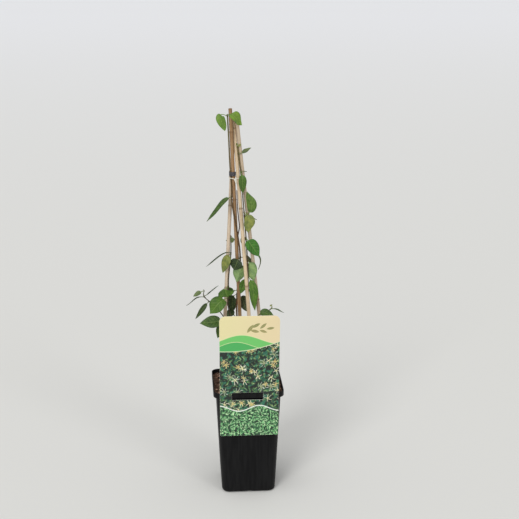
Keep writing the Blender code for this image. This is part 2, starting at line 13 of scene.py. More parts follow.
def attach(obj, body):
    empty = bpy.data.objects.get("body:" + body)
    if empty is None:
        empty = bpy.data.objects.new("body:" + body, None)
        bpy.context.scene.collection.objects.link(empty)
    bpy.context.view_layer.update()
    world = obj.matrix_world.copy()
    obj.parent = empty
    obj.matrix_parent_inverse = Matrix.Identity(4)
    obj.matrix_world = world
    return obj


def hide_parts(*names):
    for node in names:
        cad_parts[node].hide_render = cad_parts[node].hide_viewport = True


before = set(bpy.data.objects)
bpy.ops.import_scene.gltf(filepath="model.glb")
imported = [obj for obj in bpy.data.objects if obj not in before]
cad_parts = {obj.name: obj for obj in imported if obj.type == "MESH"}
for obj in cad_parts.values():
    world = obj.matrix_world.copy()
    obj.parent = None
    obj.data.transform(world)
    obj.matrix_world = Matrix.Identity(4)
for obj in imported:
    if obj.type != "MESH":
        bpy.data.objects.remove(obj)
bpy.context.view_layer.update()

MM = 0.001

# Camera, fitted to the pot's corners and the canes' tips
LENS = 76.0
SENSOR = 36.0
CAMERA_PITCH = 15.0
CAMERA_AZIMUTH = -4.0
CAMERA_DISTANCE = 1.70
CAMERA_TARGET = (0.020, 0.0, 0.374)

# Studio: each light's direction, power and spread in degrees, and the floor's near and far colour, a
# painted light gradient that grows lighter and bluer further back
SKY_COLOUR = (0.97, 0.98, 1.0, 1.0)
SKY_POWER = 0.43
LIGHTS = {
    "key_light": ((-0.68, -1.35, 0.88), 1.34, 22),
    "fill_light": ((0.72, -1.0, 0.50), 0.50, 18),
    "top_light": ((-0.15, -0.35, 1.5), 0.68, 36),
}
FLOOR_SIZE = 80
FLOOR_LEVEL = -0.2
FLOOR_COLOURS = ((0.785, 0.780, 0.745), (0.885, 0.890, 0.905))

# Pot
POT_HEIGHT = 175.0
RIM_HALF = 55.0
RIM_RADIUS = 12.0
LIP_HEIGHT = 9.0
LIP_STEP = 4.5
BASE_HALF = 42.5
BASE_RADIUS = 13.0
BODY_RADIUS = 12.0
WALL = 1.3
FLOOR = 4.0
FLOOR_INSET = 2.5
BASE_ROUND = 5.0
BASE_STEPS = 8
ARCH_WIDTH = 16.0
ARCH_HEIGHT = 2.5
ARCH_DEPTH = 16.0
DRAIN_RADIUS = 4.0
DRAIN_OFFSET = 24.0
EDGE_ROUND = 0.25
GAP = 0.3

# Soil
SOIL_TOP = 169.0
SOIL_RINGS = 42
SOIL_RELIEF = 1.6
SOIL_CORNER_STEPS = 24

# Crumbs, clear of the rim, the canes, the corners and the tongue; and for each kind its half length,
# its width and height as parts of that, and its darkest and lightest colour
CRUMBS = 620
CRUMB_MARGIN = 3.5
CRUMB_CLEAR = 3.0
CRUMB_CORNER = 45.0
CRUMB_ROUND = 6.0
TONGUE_BACK = -45.0
TONGUE_CLEAR = 2.0
BARK_SHARE = 0.45
BARK_CHIP = ((1.8, 4.2), (0.45, 0.8), (0.22, 0.45), (0.19, 0.095, 0.06), (0.85, 0.60, 0.43))
PEAT_CRUMB = ((0.8, 2.4), (0.7, 1.0), (0.6, 0.9), (0.014, 0.009, 0.007), (0.20, 0.105, 0.065))

# Label card with its tongue's window (left, right, low, high) and the tongue's way over the rim
CARD_WIDTH = 93.0
CARD_SHIFT = 1.2
CARD_THICKNESS = 0.5
CARD_BOTTOM = 104.5
CARD_TOP = 300.5
CARD_CORNER = 9.0
CARD_FOOT_CORNER = 3.0
CARD_TAPER = 2.4
CARD_EDGE = 0.1
CARD_PLANE = -55.7
WINDOW = (-27.0, 22.0, 164.0, 176.0)
WINDOW_CORNER = 1.5
TONGUE_ROUTE = [(CARD_PLANE, 181.0), (CARD_PLANE + 0.1, 178.6), (-54.9, 176.7), (-52.2, 175.8),
                (-49.6, 173.4), (-48.4, 169.0), (-48.1, 163.5), (-47.4, 151.0), (-46.8, 140.2)]

# Printed leaf layers: cell size, offset, length, width, dark and light colour
THICKET_LEAVES = [
    (13.0, (3, 5), 17.0, 9.0, (0.008, 0.055, 0.035), (0.022, 0.165, 0.100)),
    (9.5, (41, 17), 12.0, 5.5, (0.008, 0.070, 0.040), (0.040, 0.220, 0.120)),
    (7.0, (83, 59), 8.0, 2.6, (0.012, 0.060, 0.018), (0.090, 0.230, 0.060)),
    (6.0, (29, 97), 6.5, 1.3, (0.060, 0.130, 0.040), (0.330, 0.480, 0.200)),
]
HEDGE_LEAVES = [
    (5.0, (11, 3), 6.4, 2.4, (0.016, 0.110, 0.030), (0.110, 0.360, 0.130)),
    (5.2, (37, 91), 5.6, 1.9, (0.090, 0.330, 0.110), (0.330, 0.660, 0.300)),
    (4.6, (71, 37), 4.2, 1.5, (0.200, 0.480, 0.180), (0.620, 0.850, 0.500)),
]
# Printed blossom layers: cell size, offset, radius, spokes, petal and heart colour, share left out
PETAL_HALF = 0.55
BLOSSOMS = [
    (19.0, (19, 31), 8.5, 7, (0.50, 0.56, 0.48), (0.34, 0.38, 0.20), 0.60),
    (17.0, (7, 61), 7.0, 5, (0.84, 0.84, 0.72), (0.74, 0.68, 0.36), 0.50),
    (15.0, (53, 11), 5.5, 7, (0.78, 0.70, 0.38), (0.56, 0.44, 0.15), 0.62),
]
# Hills behind the head's sprig: length of a wave, its start, rise and middle height, and colour
HILLS = [(118.0, 2.2, 7.5, 262.0, (0.150, 0.530, 0.130)), (96.0, 2.9, 6.0, 252.5, (0.062, 0.400, 0.095))]
# Sprig on the card's head: place, length, width, turn and colour of each leaf
SPRIG = [
    ((2.0, 280.0), 17.0, 5.4, 52.0, (0.28, 0.26, 0.09)),
    ((11.0, 285.0), 15.0, 4.8, 28.0, (0.24, 0.24, 0.08)),
    ((9.0, 276.0), 15.0, 4.8, -12.0, (0.30, 0.27, 0.10)),
    ((22.0, 284.0), 14.0, 4.4, 40.0, (0.26, 0.25, 0.09)),
    ((22.0, 275.5), 13.0, 4.2, -18.0, (0.31, 0.27, 0.10)),
    ((33.0, 280.0), 13.0, 4.0, 8.0, (0.25, 0.24, 0.08)),
]

# Canes: distance of the first node from the foot and from each node to the next, colour, and a
# smooth line through points, foot first
CANE_RADIUS = 2.9
CANE_STEP = 35.0
CANE_SIDES = 28
CANE_WAVER = 0.10
NODE_SWELL = 0.42
NODE_DIP = 0.16
GROOVE_DEPTH = 0.28
GROOVE_LENGTH = 60
CANES = {
    "left": ((62, 131), (0.62, 0.51, 0.39), [
        (-34.5, 0.5, 4.6), (-39.0, 1.6, 80), (-40.4, 3.0, 160), (-33.6, 4.4, 290),
        (-22.6, 6.8, 500), (-18.0, 8.0, 593)]),
    "back": ((46, 105), (0.37, 0.230, 0.115), [
        (1.4, 33.4, 4.6), (-5.2, 22.7, 160), (-10.7, 13.8, 290), (-19.6, -0.6, 500),
        (-24.2, -8.1, 609)]),
    "front": ((88, 122), (0.66, 0.53, 0.36), [
        (22.2, -34.9, 4.6), (11.4, -25.3, 160), (2.3, -17.2, 290), (-12.3, -4.2, 500),
        (-18.9, 1.6, 590)]),
    "right": ((30, 138), (0.56, 0.46, 0.34), [
        (33.0, -3.6, 4.6), (35.0, -3.0, 80), (32.0, -2.2, 160), (18.8, -1.3, 290),
        (-4.3, -0.6, 500), (-14.0, -2.4, 589)]),
}
CANE_STAIN = (0.16, 0.085, 0.035)
PITH_COLOUR = (0.30, 0.18, 0.08)
# Painted shade: the hollow in each cane's cut top is coloured near black.
HOLLOW_SHADE = (0.05, 0.028, 0.012)

# Stems: radius and bark colour at the foot and at the tip, and a route of points in the open and of
# turns round a cane as (cane, low, high, low angle, high angle)
STEM_CLEAR = 0.5
STEM_STEP = 9.0
TURN_ANGLE = 25.0
TURN_RISE = 25.0
STEM_SIDES = 14
STEM_RIBS = 0.05
STEM_WAVER = 0.08
KNOT_SWELL = 0.38
KNOT_COLOUR = (0.05, 0.030, 0.015)
BUD_COLOUR = (0.2, 0.2, 0.08)
BUD_PROFILE = ((-0.2, 0.6), (0.1, 0.95), (0.35, 1.0), (0.65, 0.7), (0.88, 0.32), (1.0, 0.06))
BUD_LENGTH = 2.1
BUD_RADIUS = 0.5
BUD_SIDES = 8
STEMS = {
    "main": ((1.4, 1.05), ((0.105, 0.056, 0.027), (0.160, 0.150, 0.056)), [
        (-2, 4, 148), (-3, 7, 170), (-5, 11, 195), (-8.6, 13.8, 216), ("back", 236, 390, 262, -20),
        ("back", 400, 470, -40, -155), (-22.9, -2.4, 490), (-24.0, -2.2, 507), (-25.2, -2.1, 530),
        (-26.4, -3.3, 558), (-27.4, -4.8, 580), (-28.4, -5.6, 601)]),
    "branch": ((0.9, 0.7), ((0.070, 0.034, 0.014), (0.150, 0.085, 0.034)), [
        (-13.6, 0.7, 411.5), (-11.0, -1.2, 427), (-12.1, -1.2, 440), (-13.6, -0.7, 455),
        (-14.2, -1.5, 470), (-14.9, -2.3, 485)]),
    "left": ((1.1, 0.8), ((0.050, 0.030, 0.014), (0.050, 0.052, 0.016)), [
        (-10, 0, 150), (-12, -1, 185), (-18, -1.5, 235), (-23.5, -1.2, 272),
        ("left", 300, 345, -30, -55), ("left", 360, 412, -40, 45)]),
    "front": ((1.3, 0.8), ((0.060, 0.038, 0.014), (0.150, 0.125, 0.038)), [
        (4, -2, 150), (4.4, -6, 175), (3.6, -12, 210), ("front", 245, 400, 135, 5),
        ("front", 420, 505, 0, -10), ("front", 520, 553, -35, -58)]),
    "shoot_left": ((0.9, 0.6), ((0.045, 0.035, 0.018), (0.075, 0.085, 0.030)), [
        (-24.3, -3.0, 266), (-30, -6.4, 272), (-38, -9, 287), (-48, -10.4, 300), (-60, -11, 312),
        (-67.5, -12, 321), (-66.6, -12.4, 330)]),
    "shoot_right": ((0.9, 0.6), ((0.050, 0.042, 0.018), (0.110, 0.120, 0.040)), [
        (4.0, -13.3, 262), (7.4, -11.4, 272), (13.0, -11.0, 282), (21.0, -11.4, 289),
        (31.5, -12.2, 293), (39.0, -12.6, 299.5)]),
}

# Twist tie, its angles as (first, last, step), and the band with its section as (across, depth)
TIE_HEIGHT = 503.5
TIE_RADIUS = 0.6
TIE_CLEAR = 0.2
TIE_SIDES = 12
TIE_ANGLES = (-87, 237, 6)
TAIL_TURNS = 2.5
TAIL_LENGTH = 7.5
TAIL_STEPS = 21
TAIL_ASIDE = 3.0
TAIL_OUT = 1.0
TAIL_LEAN = 1.6
BAND_LOW = 505.6
BAND_HIGH = 513.2
BAND_HALF = 2.9
BAND_CLEAR = 0.15
BAND_CLIMB = 1.3
BAND_LAP = 0.42
BAND_WAVER = 0.12
BAND_ANGLES = (0, 725, 5)
BAND_SECTION = ((-1, 0.06), (-1, 0.30), (-0.92, 0.36), (0.92, 0.36), (1, 0.30), (1, 0.06),
                (0.92, 0.0), (-0.92, 0.0))

# Leaves: name, stem, height on the stem, reach from stalk to tip, bow of the midrib, width,
# the direction that the upper face looks, colour, and on one leaf the reach of its curled tip
LEAF_THICKNESS = 0.42
LEAF_FOLD = math.radians(14.0)
STALK_LENGTH = 5.0
STALK_SHARE = 0.35
STALK_RADIUS = 0.55
STALK_SEAT = 0.5
BLADE_POWER = 0.6
TIP_HALF = 0.12
CURL_HALF = 1.5
CURL_TAPER = 0.75
STALK_ROWS = 7
BLADE_ROWS = 46
CURL_ROWS = 16
HALF_COLUMNS = 11
VEINS = 6.5
VEIN_SWEEP = 0.24
QUILT = 0.020
MARGIN_WAVE = 0.035
BROAD_WAVE = 0.025
RIB_WIDTH = 0.55
RIB_GROOVE = 0.10
RIB_RIDGE = 0.34
OPENING = 0.07
# Painted shade: dark, blue and dusk are darkened copies of the green for leaves that lie in shade.
LEAF_TONES = {
    "bright": (0.155, 0.280, 0.028),
    "fresh": (0.105, 0.200, 0.028),
    "mid": (0.058, 0.145, 0.015),
    "deep": (0.034, 0.082, 0.012),
    "rich": (0.024, 0.140, 0.010),
    "dark": (0.014, 0.036, 0.011),
    "blue": (0.006, 0.021, 0.012),
    "dusk": (0.030, 0.034, 0.016),
    "pale": (0.165, 0.275, 0.095),
    "olive": (0.200, 0.220, 0.055),
    "grey": (0.105, 0.140, 0.060),
}
LEAVES = [
    ("top_left", "main", 598, (-4, -5, -22), (-9, -1, 8), 14, (-0.3, -1, 0.4), "fresh"),
    ("top_right", "main", 599, (21, -8, -14), (0, -12, 7), 19, (0.3, -0.8, 0.6), "bright"),
    ("tip_right", "front", 551, (5, -2, 5), (0, -1, 0), 3.5, (0, -1, 0.6), "olive"),
    ("tip_left", "front", 552, (-2, -5, 6), (0, -1, 0), 3.5, (0, -1, 0.6), "olive"),
    ("upper_right", "front", 541, (19, -2, 9), (0, -1, -1), 8, (-0.3, -0.6, 0.7), "grey"),
    ("tie_front", "front", 514, (3, -4, -33), (1, -6, 1), 13, (0.2, -1, 0.1), "mid"),
    ("tie_back", "front", 512, (9, -3, 2), (0, -2, 2), 4, (0, 0.1, 1), "deep"),
    ("mid_raised", "front", 446, (4, -3, 38), (9, -3, 0), 18, (0.5, -0.9, 0.2), "fresh"),
    ("mid_back", "front", 444, (19, 0, -5), (0, 0, 3), 8, (0.2, 0, 1), "mid"),
    ("mid_hanging", "front", 451, (6, -6, -31), (4, -4, 2), 19, (0.4, -1, 0.2), "olive"),
    ("long_left", "main", 474, (-38, -1, -38), (1, -2, 5), 11, (-0.6, -0.6, 0.7), "deep"),
    ("small_dark", "left", 409, (2, -3, -9), (1, -4, 3), 7, (0, -1, 0.3), "grey"),
    ("small_back", "left", 402, (-4, 15, -4), (0, 0, 3), 10, (-0.3, 0.3, 0.9), "mid"),
    ("bright_right", "front", 411, (19.5, -6, -28), (-1, -3, 2), 22, (0.3, -0.9, 0.5), "rich",
     (-1.5, -2, -20)),
    ("bright_back", "front", 411, (-6, 18, -13), (0, 0, 3), 9, (0, 0.5, 0.8), "mid"),
    ("arc_left", "left", 384, (-38.5, -4, -20), (0, -11, 8), 9, (-0.3, 0.25, 0.9), "dark"),
    ("olive_left", "left", 382, (-13, -7, -28), (-1, -5, 5), 14, (-0.2, -1, 0.1), "olive"),
    ("blue_left", "main", 376, (-10, -7, -18), (-1, -7, 3), 21, (-0.1, -0.9, 0.4), "blue"),
    ("blue_right", "main", 375, (19, 2, -9), (0, 2, 2), 11, (0.1, -0.7, 0.7), "dusk"),
    ("pale_left", "front", 369, (-17, 7, -30), (-4, 6, 1), 21, (0.2, 1, 0.2), "pale"),
    ("pale_right", "front", 375, (9.5, 1, -33), (1, 1, 2), 19, (0, 1, 0.2), "pale"),
    ("green_right", "front", 350, (10.5, 0, -56), (3.2, -3, 1), 15, (0.3, -1, 0), "mid"),
    ("green_left", "front", 349, (-11, 4, -28), (-1, 0, 1), 13, (0, -1, 0.3), "mid"),
    ("low_dark_left", "main", 313, (-8, 3, -30), (-4, 2, 3), 18, (0, -1, 0.4), "dark"),
    ("low_dark_right", "main", 310, (15, 3, -26), (3, 7, 2), 17, (0, -1, 0.3), "dusk"),
    ("behind_cane", "main", 320, (-30, 1, -5), (0, 1, 0), 14, (-0.1, -0.8, 0.5), "mid"),
    ("behind_cane_back", "main", 323, (20, 13, -10), (0, 2, 3), 14, (0.2, 0.4, 0.9), "mid"),
    ("broad_left", "left", 312, (-29, -22, -18), (-4, -12, 5), 25, (-0.2, -0.9, 0.5), "mid"),
    ("broad_right", "left", 331, (-2, -1, -17), (-3.5, -2.5, 1), 29, (0.2, -1, 0.2), "mid"),
    ("shoot_dark", "shoot_left", 311, (-22, -2, -27.5), (0, -1, 2), 8, (0.5, -0.3, 0.7), "dark"),
    ("shoot_arc", "shoot_left", 318, (-29.5, -2, -12), (-2, 0, 4), 7, (-0.3, 0.2, 0.9), "dark"),
    ("shoot_grey", "shoot_left", 329, (-17, -3, -8), (0, -1, 1), 8, (0, -0.7, 0.7), "grey"),
    ("shoot_thin", "shoot_left", 320, (22, -1, 17), (0, 0, -1), 8, (-0.6, 0.2, 0.7), "dark"),
    ("shoot_low", "shoot_left", 281, (-39, -4, -5), (0, -3, -1), 21, (-0.1, -0.8, 0.6), "deep"),
    ("shoot_hanging", "shoot_left", 280, (-12, 4, -32), (-2, 1, 0), 13, (0, -1, 0.2), "deep"),
    ("right_dome", "shoot_right", 283, (28, -5, 4), (1, -4, 8), 14, (0, -0.75, 0.65), "deep"),
    ("right_thin", "shoot_right", 297, (21, -4, -5), (0, -1, 2.5), 6, (0.1, 0, 1), "deep"),
    ("right_tip", "shoot_right", 299, (-2, 1, 5), (0, 0, 1), 5, (0, -1, 0.3), "olive"),
    ("right_dark", "shoot_right", 289, (18, 6, -42), (12, 3, -6), 13, (0.5, -0.8, 0.2), "dark"),
    ("hidden_left", "main", 274, (-20, 16, 2), (0, 0, 5), 16, (-0.3, -0.7, 0.6), "dark"),
    ("hidden_right", "main", 258, (17, -15, -15), (0, -2, 5), 17, (0.3, -0.2, 0.9), "mid"),
    ("low_right", "front", 250, (28, -6, -16), (0, 4, 6), 17, (0.4, -0.2, 0.9), "mid"),
    ("low_left", "left", 250, (-22, -16, -20), (0, -2, 6), 17, (-0.3, -0.5, 0.8), "deep"),
]


class Field:
    """A value, vector or colour of a material, whose arithmetic adds math nodes."""

    def __init__(self, paint, socket):
        self.paint = paint
        self.socket = socket

    def __add__(self, other):
        return self.paint.math("ADD", self, other)

    def __sub__(self, other):
        return self.paint.math("SUBTRACT", self, other)

    def __rsub__(self, other):
        return self.paint.math("SUBTRACT", other, self)

    def __mul__(self, other):
        return self.paint.math("MULTIPLY", self, other)

    def __truediv__(self, other):
        return self.paint.math("DIVIDE", self, other)

    def __pow__(self, other):
        return self.paint.math("POWER", self, other)

    def __abs__(self):
        return self.paint.math("ABSOLUTE", self)

    def step(self, low, high, out_low=0.0, out_high=1.0):
        """A smooth step from out_low at low to out_high at high."""
        inputs = {"Value": self, "From Min": low, "From Max": high, "To Min": out_low,
                  "To Max": out_high}
        return self.paint.node("MapRange", inputs, interpolation_type="SMOOTHSTEP")

    def ramp(self, low, high, first, second):
        """The first colour at low, the second at high."""
        return self.paint.mix(self.step(low, high), first, second)


class Paint:
    """A Principled material, with short calls that add texture nodes to it."""

    def __init__(self, name, **constants):
        self.material = bpy.data.materials.new(name)
        self.material.use_nodes = True
        self.tree = self.material.node_tree
        self.shader = self.tree.nodes["Principled BSDF"]
        for socket, value in constants.items():
            self.shader.inputs[socket.replace("_", " ")].default_value = value

    def node(self, kind, inputs=(), output=0, **settings):
        """One output of a new node, or several where output is a tuple."""
        made = self.tree.nodes.new(f"ShaderNode{kind}")
        for name, value in settings.items():
            setattr(made, name, value)
        for key, value in dict(inputs).items():
            self.feed(made.inputs[key], value)
        if isinstance(output, tuple):
            return [Field(self, made.outputs[key]) for key in output]
        return Field(self, made.outputs[output])

    def feed(self, socket, value):
        if isinstance(value, Field):
            self.tree.links.new(value.socket, socket)
        elif socket.type == "RGBA" and len(value) == 3:
            socket.default_value = (*value, 1.0)
        else:
            socket.default_value = value

    def math(self, operation, first, second=0.0):
        return self.node("Math", {0: first, 1: second}, operation=operation)

    def vector(self, operation, first, second):
        return self.node("VectorMath", {0: first, 1: second}, operation=operation)

    def place(self):
        """Object coordinates in millimetres."""
        return self.vector("MULTIPLY", self.node("TexCoord", output="Object"), (1 / MM,) * 3)

    def stored(self, name, output="Fac"):
        """A value stored in the mesh."""
        return self.node("Attribute", (), output, attribute_name=name)

    def noise(self, vector, scale, detail=4.0, roughness=0.55, stretch=None, output="Fac"):
        if stretch:
            vector = self.vector("MULTIPLY", vector, stretch)
        inputs = {"Vector": vector, "Scale": scale, "Detail": detail, "Roughness": roughness}
        return self.node("TexNoise", inputs, output)

    def mix(self, share, first, second, blend="MIX"):
        return self.node("Mix", {0: share, 6: first, 7: second}, 2, data_type="RGBA", blend_type=blend)

    def tint(self, first, second):
        """Two colours multiplied."""
        return self.mix(1.0, first, second, "MULTIPLY")

    def split(self, vector, kind="SeparateXYZ"):
        return self.node(kind, {0: vector}, (0, 1, 2))

    def join(self, x, y):
        return self.node("CombineXYZ", {0: x, 1: y})

    def finish(self, colour, relief, strength, depth, roughness=None):
        """Give the shader its colour, a bump some millimetres deep and a roughness that varies."""
        bump = self.node("Bump", {"Height": relief, "Strength": strength, "Distance": depth * MM})
        self.feed(self.shader.inputs["Base Color"], colour)
        self.feed(self.shader.inputs["Normal"], bump)
        if roughness:
            self.feed(self.shader.inputs["Roughness"], roughness)
        return self


class Shape:
    """Vertices, faces and vertex values of one piece before it becomes a mesh."""

    def __init__(self):
        self.verts = []
        self.faces = []
        self.values = {}

    def add(self, verts, faces, **values):
        start = len(self.verts)
        self.verts += verts
        self.faces += [tuple(start + index for index in face) for face in faces]
        for name, list_of_values in values.items():
            self.values.setdefault(name, []).extend(list_of_values)


def mesh_of(name, shape, sharp=50):
    """Mesh of a shape, with outward faces and its values as vertex attributes."""
    data = bpy.data.meshes.new(name)
    data.from_pydata([vert * MM for vert in shape.verts], [], shape.faces)
    bm = bmesh.new()
    bm.from_mesh(data)
    bmesh.ops.recalc_face_normals(bm, faces=bm.faces)
    bm.to_mesh(data)
    bm.free()
    for label, values in shape.values.items():
        if isinstance(values[0], tuple):
            layer = data.color_attributes.new(label, "FLOAT_COLOR", "POINT")
            layer.data.foreach_set("color", [part for value in values for part in (*value, 1.0)])
        elif isinstance(values[0], Vector):
            layer = data.attributes.new(label, "FLOAT_VECTOR", "POINT")
            layer.data.foreach_set("vector", [part for value in values for part in value])
        else:
            data.attributes.new(label, "FLOAT", "POINT").data.foreach_set("value", values)
    return smooth(data, sharp)


def smooth(data, sharp):
    data.shade_smooth()
    data.set_sharp_from_angle(angle=math.radians(sharp))
    return data


def new_object(name, data):
    made = bpy.data.objects.new(name, data)
    bpy.context.scene.collection.objects.link(made)
    return made


def evaluated_mesh(holder):
    """Mesh of an object with its modifiers applied."""
    return bpy.data.meshes.new_from_object(holder.evaluated_get(bpy.context.evaluated_depsgraph_get()))


def add_piece(name, data, paints, slot, *replaced):
    """A piece of the model that rides on the one body and stands for CAD nodes."""
    piece = new_object(name, data)
    for paint in paints:
        data.materials.append(paint.material)
    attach(piece, "root")
    if replaced:
        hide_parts(*replaced)


def blend_colours(first, second, share):
    return tuple(a + (b - a) * share for a, b in zip(first, second))


def skin(rings):
    """Closed skin through rings of equal length, capped at both ends."""
    count = len(rings[0])
    faces = []
    for row in range(len(rings) - 1):
        for index in range(count):
            low = row * count + index
            following = row * count + (index + 1) % count
            faces.append((low, following, following + count, low + count))
    last = (len(rings) - 1) * count
    faces.append(tuple(range(count)))
    faces.append(tuple(range(last, last + count)))
    return [point for ring in rings for point in ring], faces


def add_skin(name, rings, paint, slot, node, sharp=50, **values):
    """A piece that is the closed skin through some rings."""
    shape = Shape()
    shape.add(*skin(rings), **values)
    add_piece(name, mesh_of(name, shape, sharp), [paint], slot, node)


def spline_point(points, position):
    """Point of the smooth curve through the points, position counted in whole points."""
    last = len(points) - 1
    index = min(int(position), last - 1)
    share = position - index
    p1, p2 = points[index], points[index + 1]
    p0 = points[index - 1] if index > 0 else p1 * 2 - p2
    p3 = points[index + 2] if index + 2 <= last else p2 * 2 - p1
    span = (p2 - p1).length
    slope1 = (p2 - p0) * (span / ((p1 - p0).length + span))
    slope2 = (p3 - p1) * (span / ((p3 - p2).length + span))
    square, cube = share * share, share ** 3
    return (p1 * (2 * cube - 3 * square + 1) + slope1 * (cube - 2 * square + share)
            + p2 * (3 * square - 2 * cube) + slope2 * (cube - square))


def smooth_route(points, step):
    """Points about one step apart along the smooth curve through the given points."""
    result = [points[0].copy()]
    for index in range(len(points) - 1):
        parts = max(1, round((points[index + 1] - points[index]).length / step))
        for part in range(1, parts + 1):
            result.append(spline_point(points, index + part / parts))
    return result


def point_at_height(route, height):
    """Point and direction of a rising route at a height."""
    for low, high in zip(route, route[1:]):
        if low.z <= height <= high.z:
            share = (height - low.z) / (high.z - low.z)
            return low.lerp(high, share), (high - low).normalized()
    raise ValueError(f"no point at height {height}")


def turns(canes, cane, low, high, low_angle, high_angle, radius):
    """Points of a stem that climbs round a cane from one height and angle to another."""
    count = max(2, math.ceil(abs(high_angle - low_angle) / TURN_ANGLE),
                math.ceil((high - low) / TURN_RISE))
    reach = CANE_RADIUS + STEM_CLEAR + radius
    points = []
    for index in range(count + 1):
        share = index / count
        middle, _ = point_at_height(canes[cane], low + (high - low) * share)
        angle = math.radians(low_angle + (high_angle - low_angle) * share)
        points.append(middle + Vector((math.cos(angle), math.sin(angle), 0)) * reach)
    return points


def stem_route(canes, radii, route):
    points = []
    for entry in route:
        if isinstance(entry[0], str):
            points += turns(canes, *entry, max(radii))
        else:
            points.append(Vector(entry))
    return smooth_route(points, STEM_STEP)


def stem_radius(stem, share):
    low, high = STEMS[stem][0]
    return low + (high - low) * share


def distances(route):
    """Distance of each point of the route from its start."""
    result = [0.0]
    for low, high in zip(route, route[1:]):
        result.append(result[-1] + (high - low).length)
    return result


def resample(route, wanted):
    """Points at the wanted distances along a finely divided route."""
    known = distances(route)
    result = []
    index = 0
    for distance in wanted:
        while index < len(known) - 2 and known[index + 1] < distance:
            index += 1
        share = (distance - known[index]) / (known[index + 1] - known[index])
        result.append(route[index].lerp(route[index + 1], share))
    return result


def sweep(route, wanted, sides, radius_at):
    """Rings round a route at the wanted distances, and each point's place on the skin."""
    centres = resample(route, wanted)
    across = Vector((1, 0, 0))
    rings, grain = [], []
    for index, centre in enumerate(centres):
        before, after = centres[max(0, index - 1)], centres[min(len(centres) - 1, index + 1)]
        along = (after - before).normalized()
        across = (across - along * across.dot(along)).normalized()
        other = along.cross(across)
        ring = []
        for side in range(sides):
            angle = 2 * math.pi * side / sides
            radius = radius_at(wanted[index], angle)
            ring.append(centre + (across * math.cos(angle) + other * math.sin(angle)) * radius)
            grain.append(Vector((math.cos(angle) * CANE_RADIUS, math.sin(angle) * CANE_RADIUS,
                                 wanted[index])))
        rings.append(ring)
    return rings, grain


def levels(length, step, marks=(), reach=0.0, fine=0.6):
    """Distances along a length: one step apart, and finer near the marks."""
    count = round(length / step)
    wanted = {round(length * index / count, 3) for index in range(count + 1)}
    near = round(reach / fine)
    wanted |= {round(mark + fine * index, 3) for mark in marks for index in range(-near, near + 1)}
    kept = [0.0]
    for distance in sorted(wanted):
        if kept[-1] + fine * 0.5 < distance < length:
            kept.append(distance)
    return kept + [length]


def hill(distance, width):
    return math.exp(-(distance / width) ** 2)


def highest_hill(distance, marks, width, height):
    """Height of the highest of equal hills at the marks."""
    return max([height * hill(distance - mark, width) for mark in marks] + [0])


def arc(x, y, radius, start, steps):
    """Points of a quarter circle anticlockwise from a start angle."""
    for step in range(steps + 1):
        angle = math.radians(start + 90 * step / steps)
        yield x + radius * math.cos(angle), y + radius * math.sin(angle)


def make_camera():
    camera = new_object("camera", bpy.data.cameras.new("camera"))
    camera.data.lens = LENS
    camera.data.sensor_width = SENSOR
    azimuth, pitch = math.radians(CAMERA_AZIMUTH), math.radians(CAMERA_PITCH)
    back = Vector((math.sin(azimuth) * math.cos(pitch), -math.cos(azimuth) * math.cos(pitch),
                   math.sin(pitch)))
    camera.location = Vector(CAMERA_TARGET) + back * CAMERA_DISTANCE
    camera.rotation_euler = back.to_track_quat("Z", "Y").to_euler()
    bpy.context.scene.camera = camera


def make_studio():
    world = bpy.data.worlds.new("studio")
    bpy.context.scene.world = world
    world.use_nodes = True
    background = world.node_tree.nodes["Background"]
    background.inputs["Color"].default_value = SKY_COLOUR
    background.inputs["Strength"].default_value = SKY_POWER
    for name, (direction, power, spread) in LIGHTS.items():
        light = new_object(name, bpy.data.lights.new(name, "SUN"))
        light.data.energy = power
        light.data.angle = math.radians(spread)
        light.location = direction
        light.rotation_euler = Vector(direction).to_track_quat("Z", "Y").to_euler()
    bpy.context.scene.view_settings.view_transform = "Standard"
    bpy.ops.mesh.primitive_plane_add(size=FLOOR_SIZE, location=(0, 0, FLOOR_LEVEL * MM))
    floor = bpy.context.object
    floor.name = "studio_floor"
    paint = Paint("studio_floor", Roughness=0.8)
    # Painted light: the floor's colour grows lighter and bluer from near the pot to far behind it.
    behind = paint.math("MAXIMUM", paint.split(paint.place())[1], 0.0)
    colour = paint.math("SQRT", behind).ramp(20, 135, *FLOOR_COLOURS)
    paint.feed(paint.shader.inputs["Base Color"], colour)
    floor.data.materials.append(paint.material)


def pot_paint():
    """Satin black moulding with vertical flow streaks, a fine grain and dust near the rim."""
    paint = Paint("pot_plastic", Specular_IOR_Level=0.12)
    place = paint.place()
    streaks = paint.noise(place, 0.28, 5, stretch=(1, 1, 0.05))
    grain = paint.noise(place, 3.5, 3)
    speckle = paint.noise(place, 0.7, 6, 0.7)
    height = paint.split(place)[2]
    dust = paint.math("MAXIMUM", height.step(26, 0), height.step(160, 175)) * speckle.step(0.52, 0.72)
    colour = streaks.ramp(0.35, 0.65, (0.0035, 0.0035, 0.004), (0.0085, 0.0085, 0.009))
    colour = paint.mix(dust * 0.3, colour, (0.060, 0.050, 0.040))
    return paint.finish(colour, grain * 0.5 + streaks, 0.25, 0.25, streaks.step(0.3, 0.7, 0.40, 0.55))


def soil_paint():
    """Dark peat with lighter fibres."""
    paint = Paint("potting_soil", Roughness=0.95, Specular_IOR_Level=0.2)
    place = paint.place()
    clods = paint.noise(place, 0.35, 6, 0.7)
    fibres = paint.noise(place, 2.2, 3, stretch=(0.25, 1, 1))
    colour = clods.ramp(0.35, 0.65, (0.009, 0.006, 0.005), (0.14, 0.075, 0.048))
    colour = fibres.ramp(0.58, 0.68, colour, (0.70, 0.50, 0.34))
    return paint.finish(colour, clods + fibres * 0.4, 0.9, 1.2)


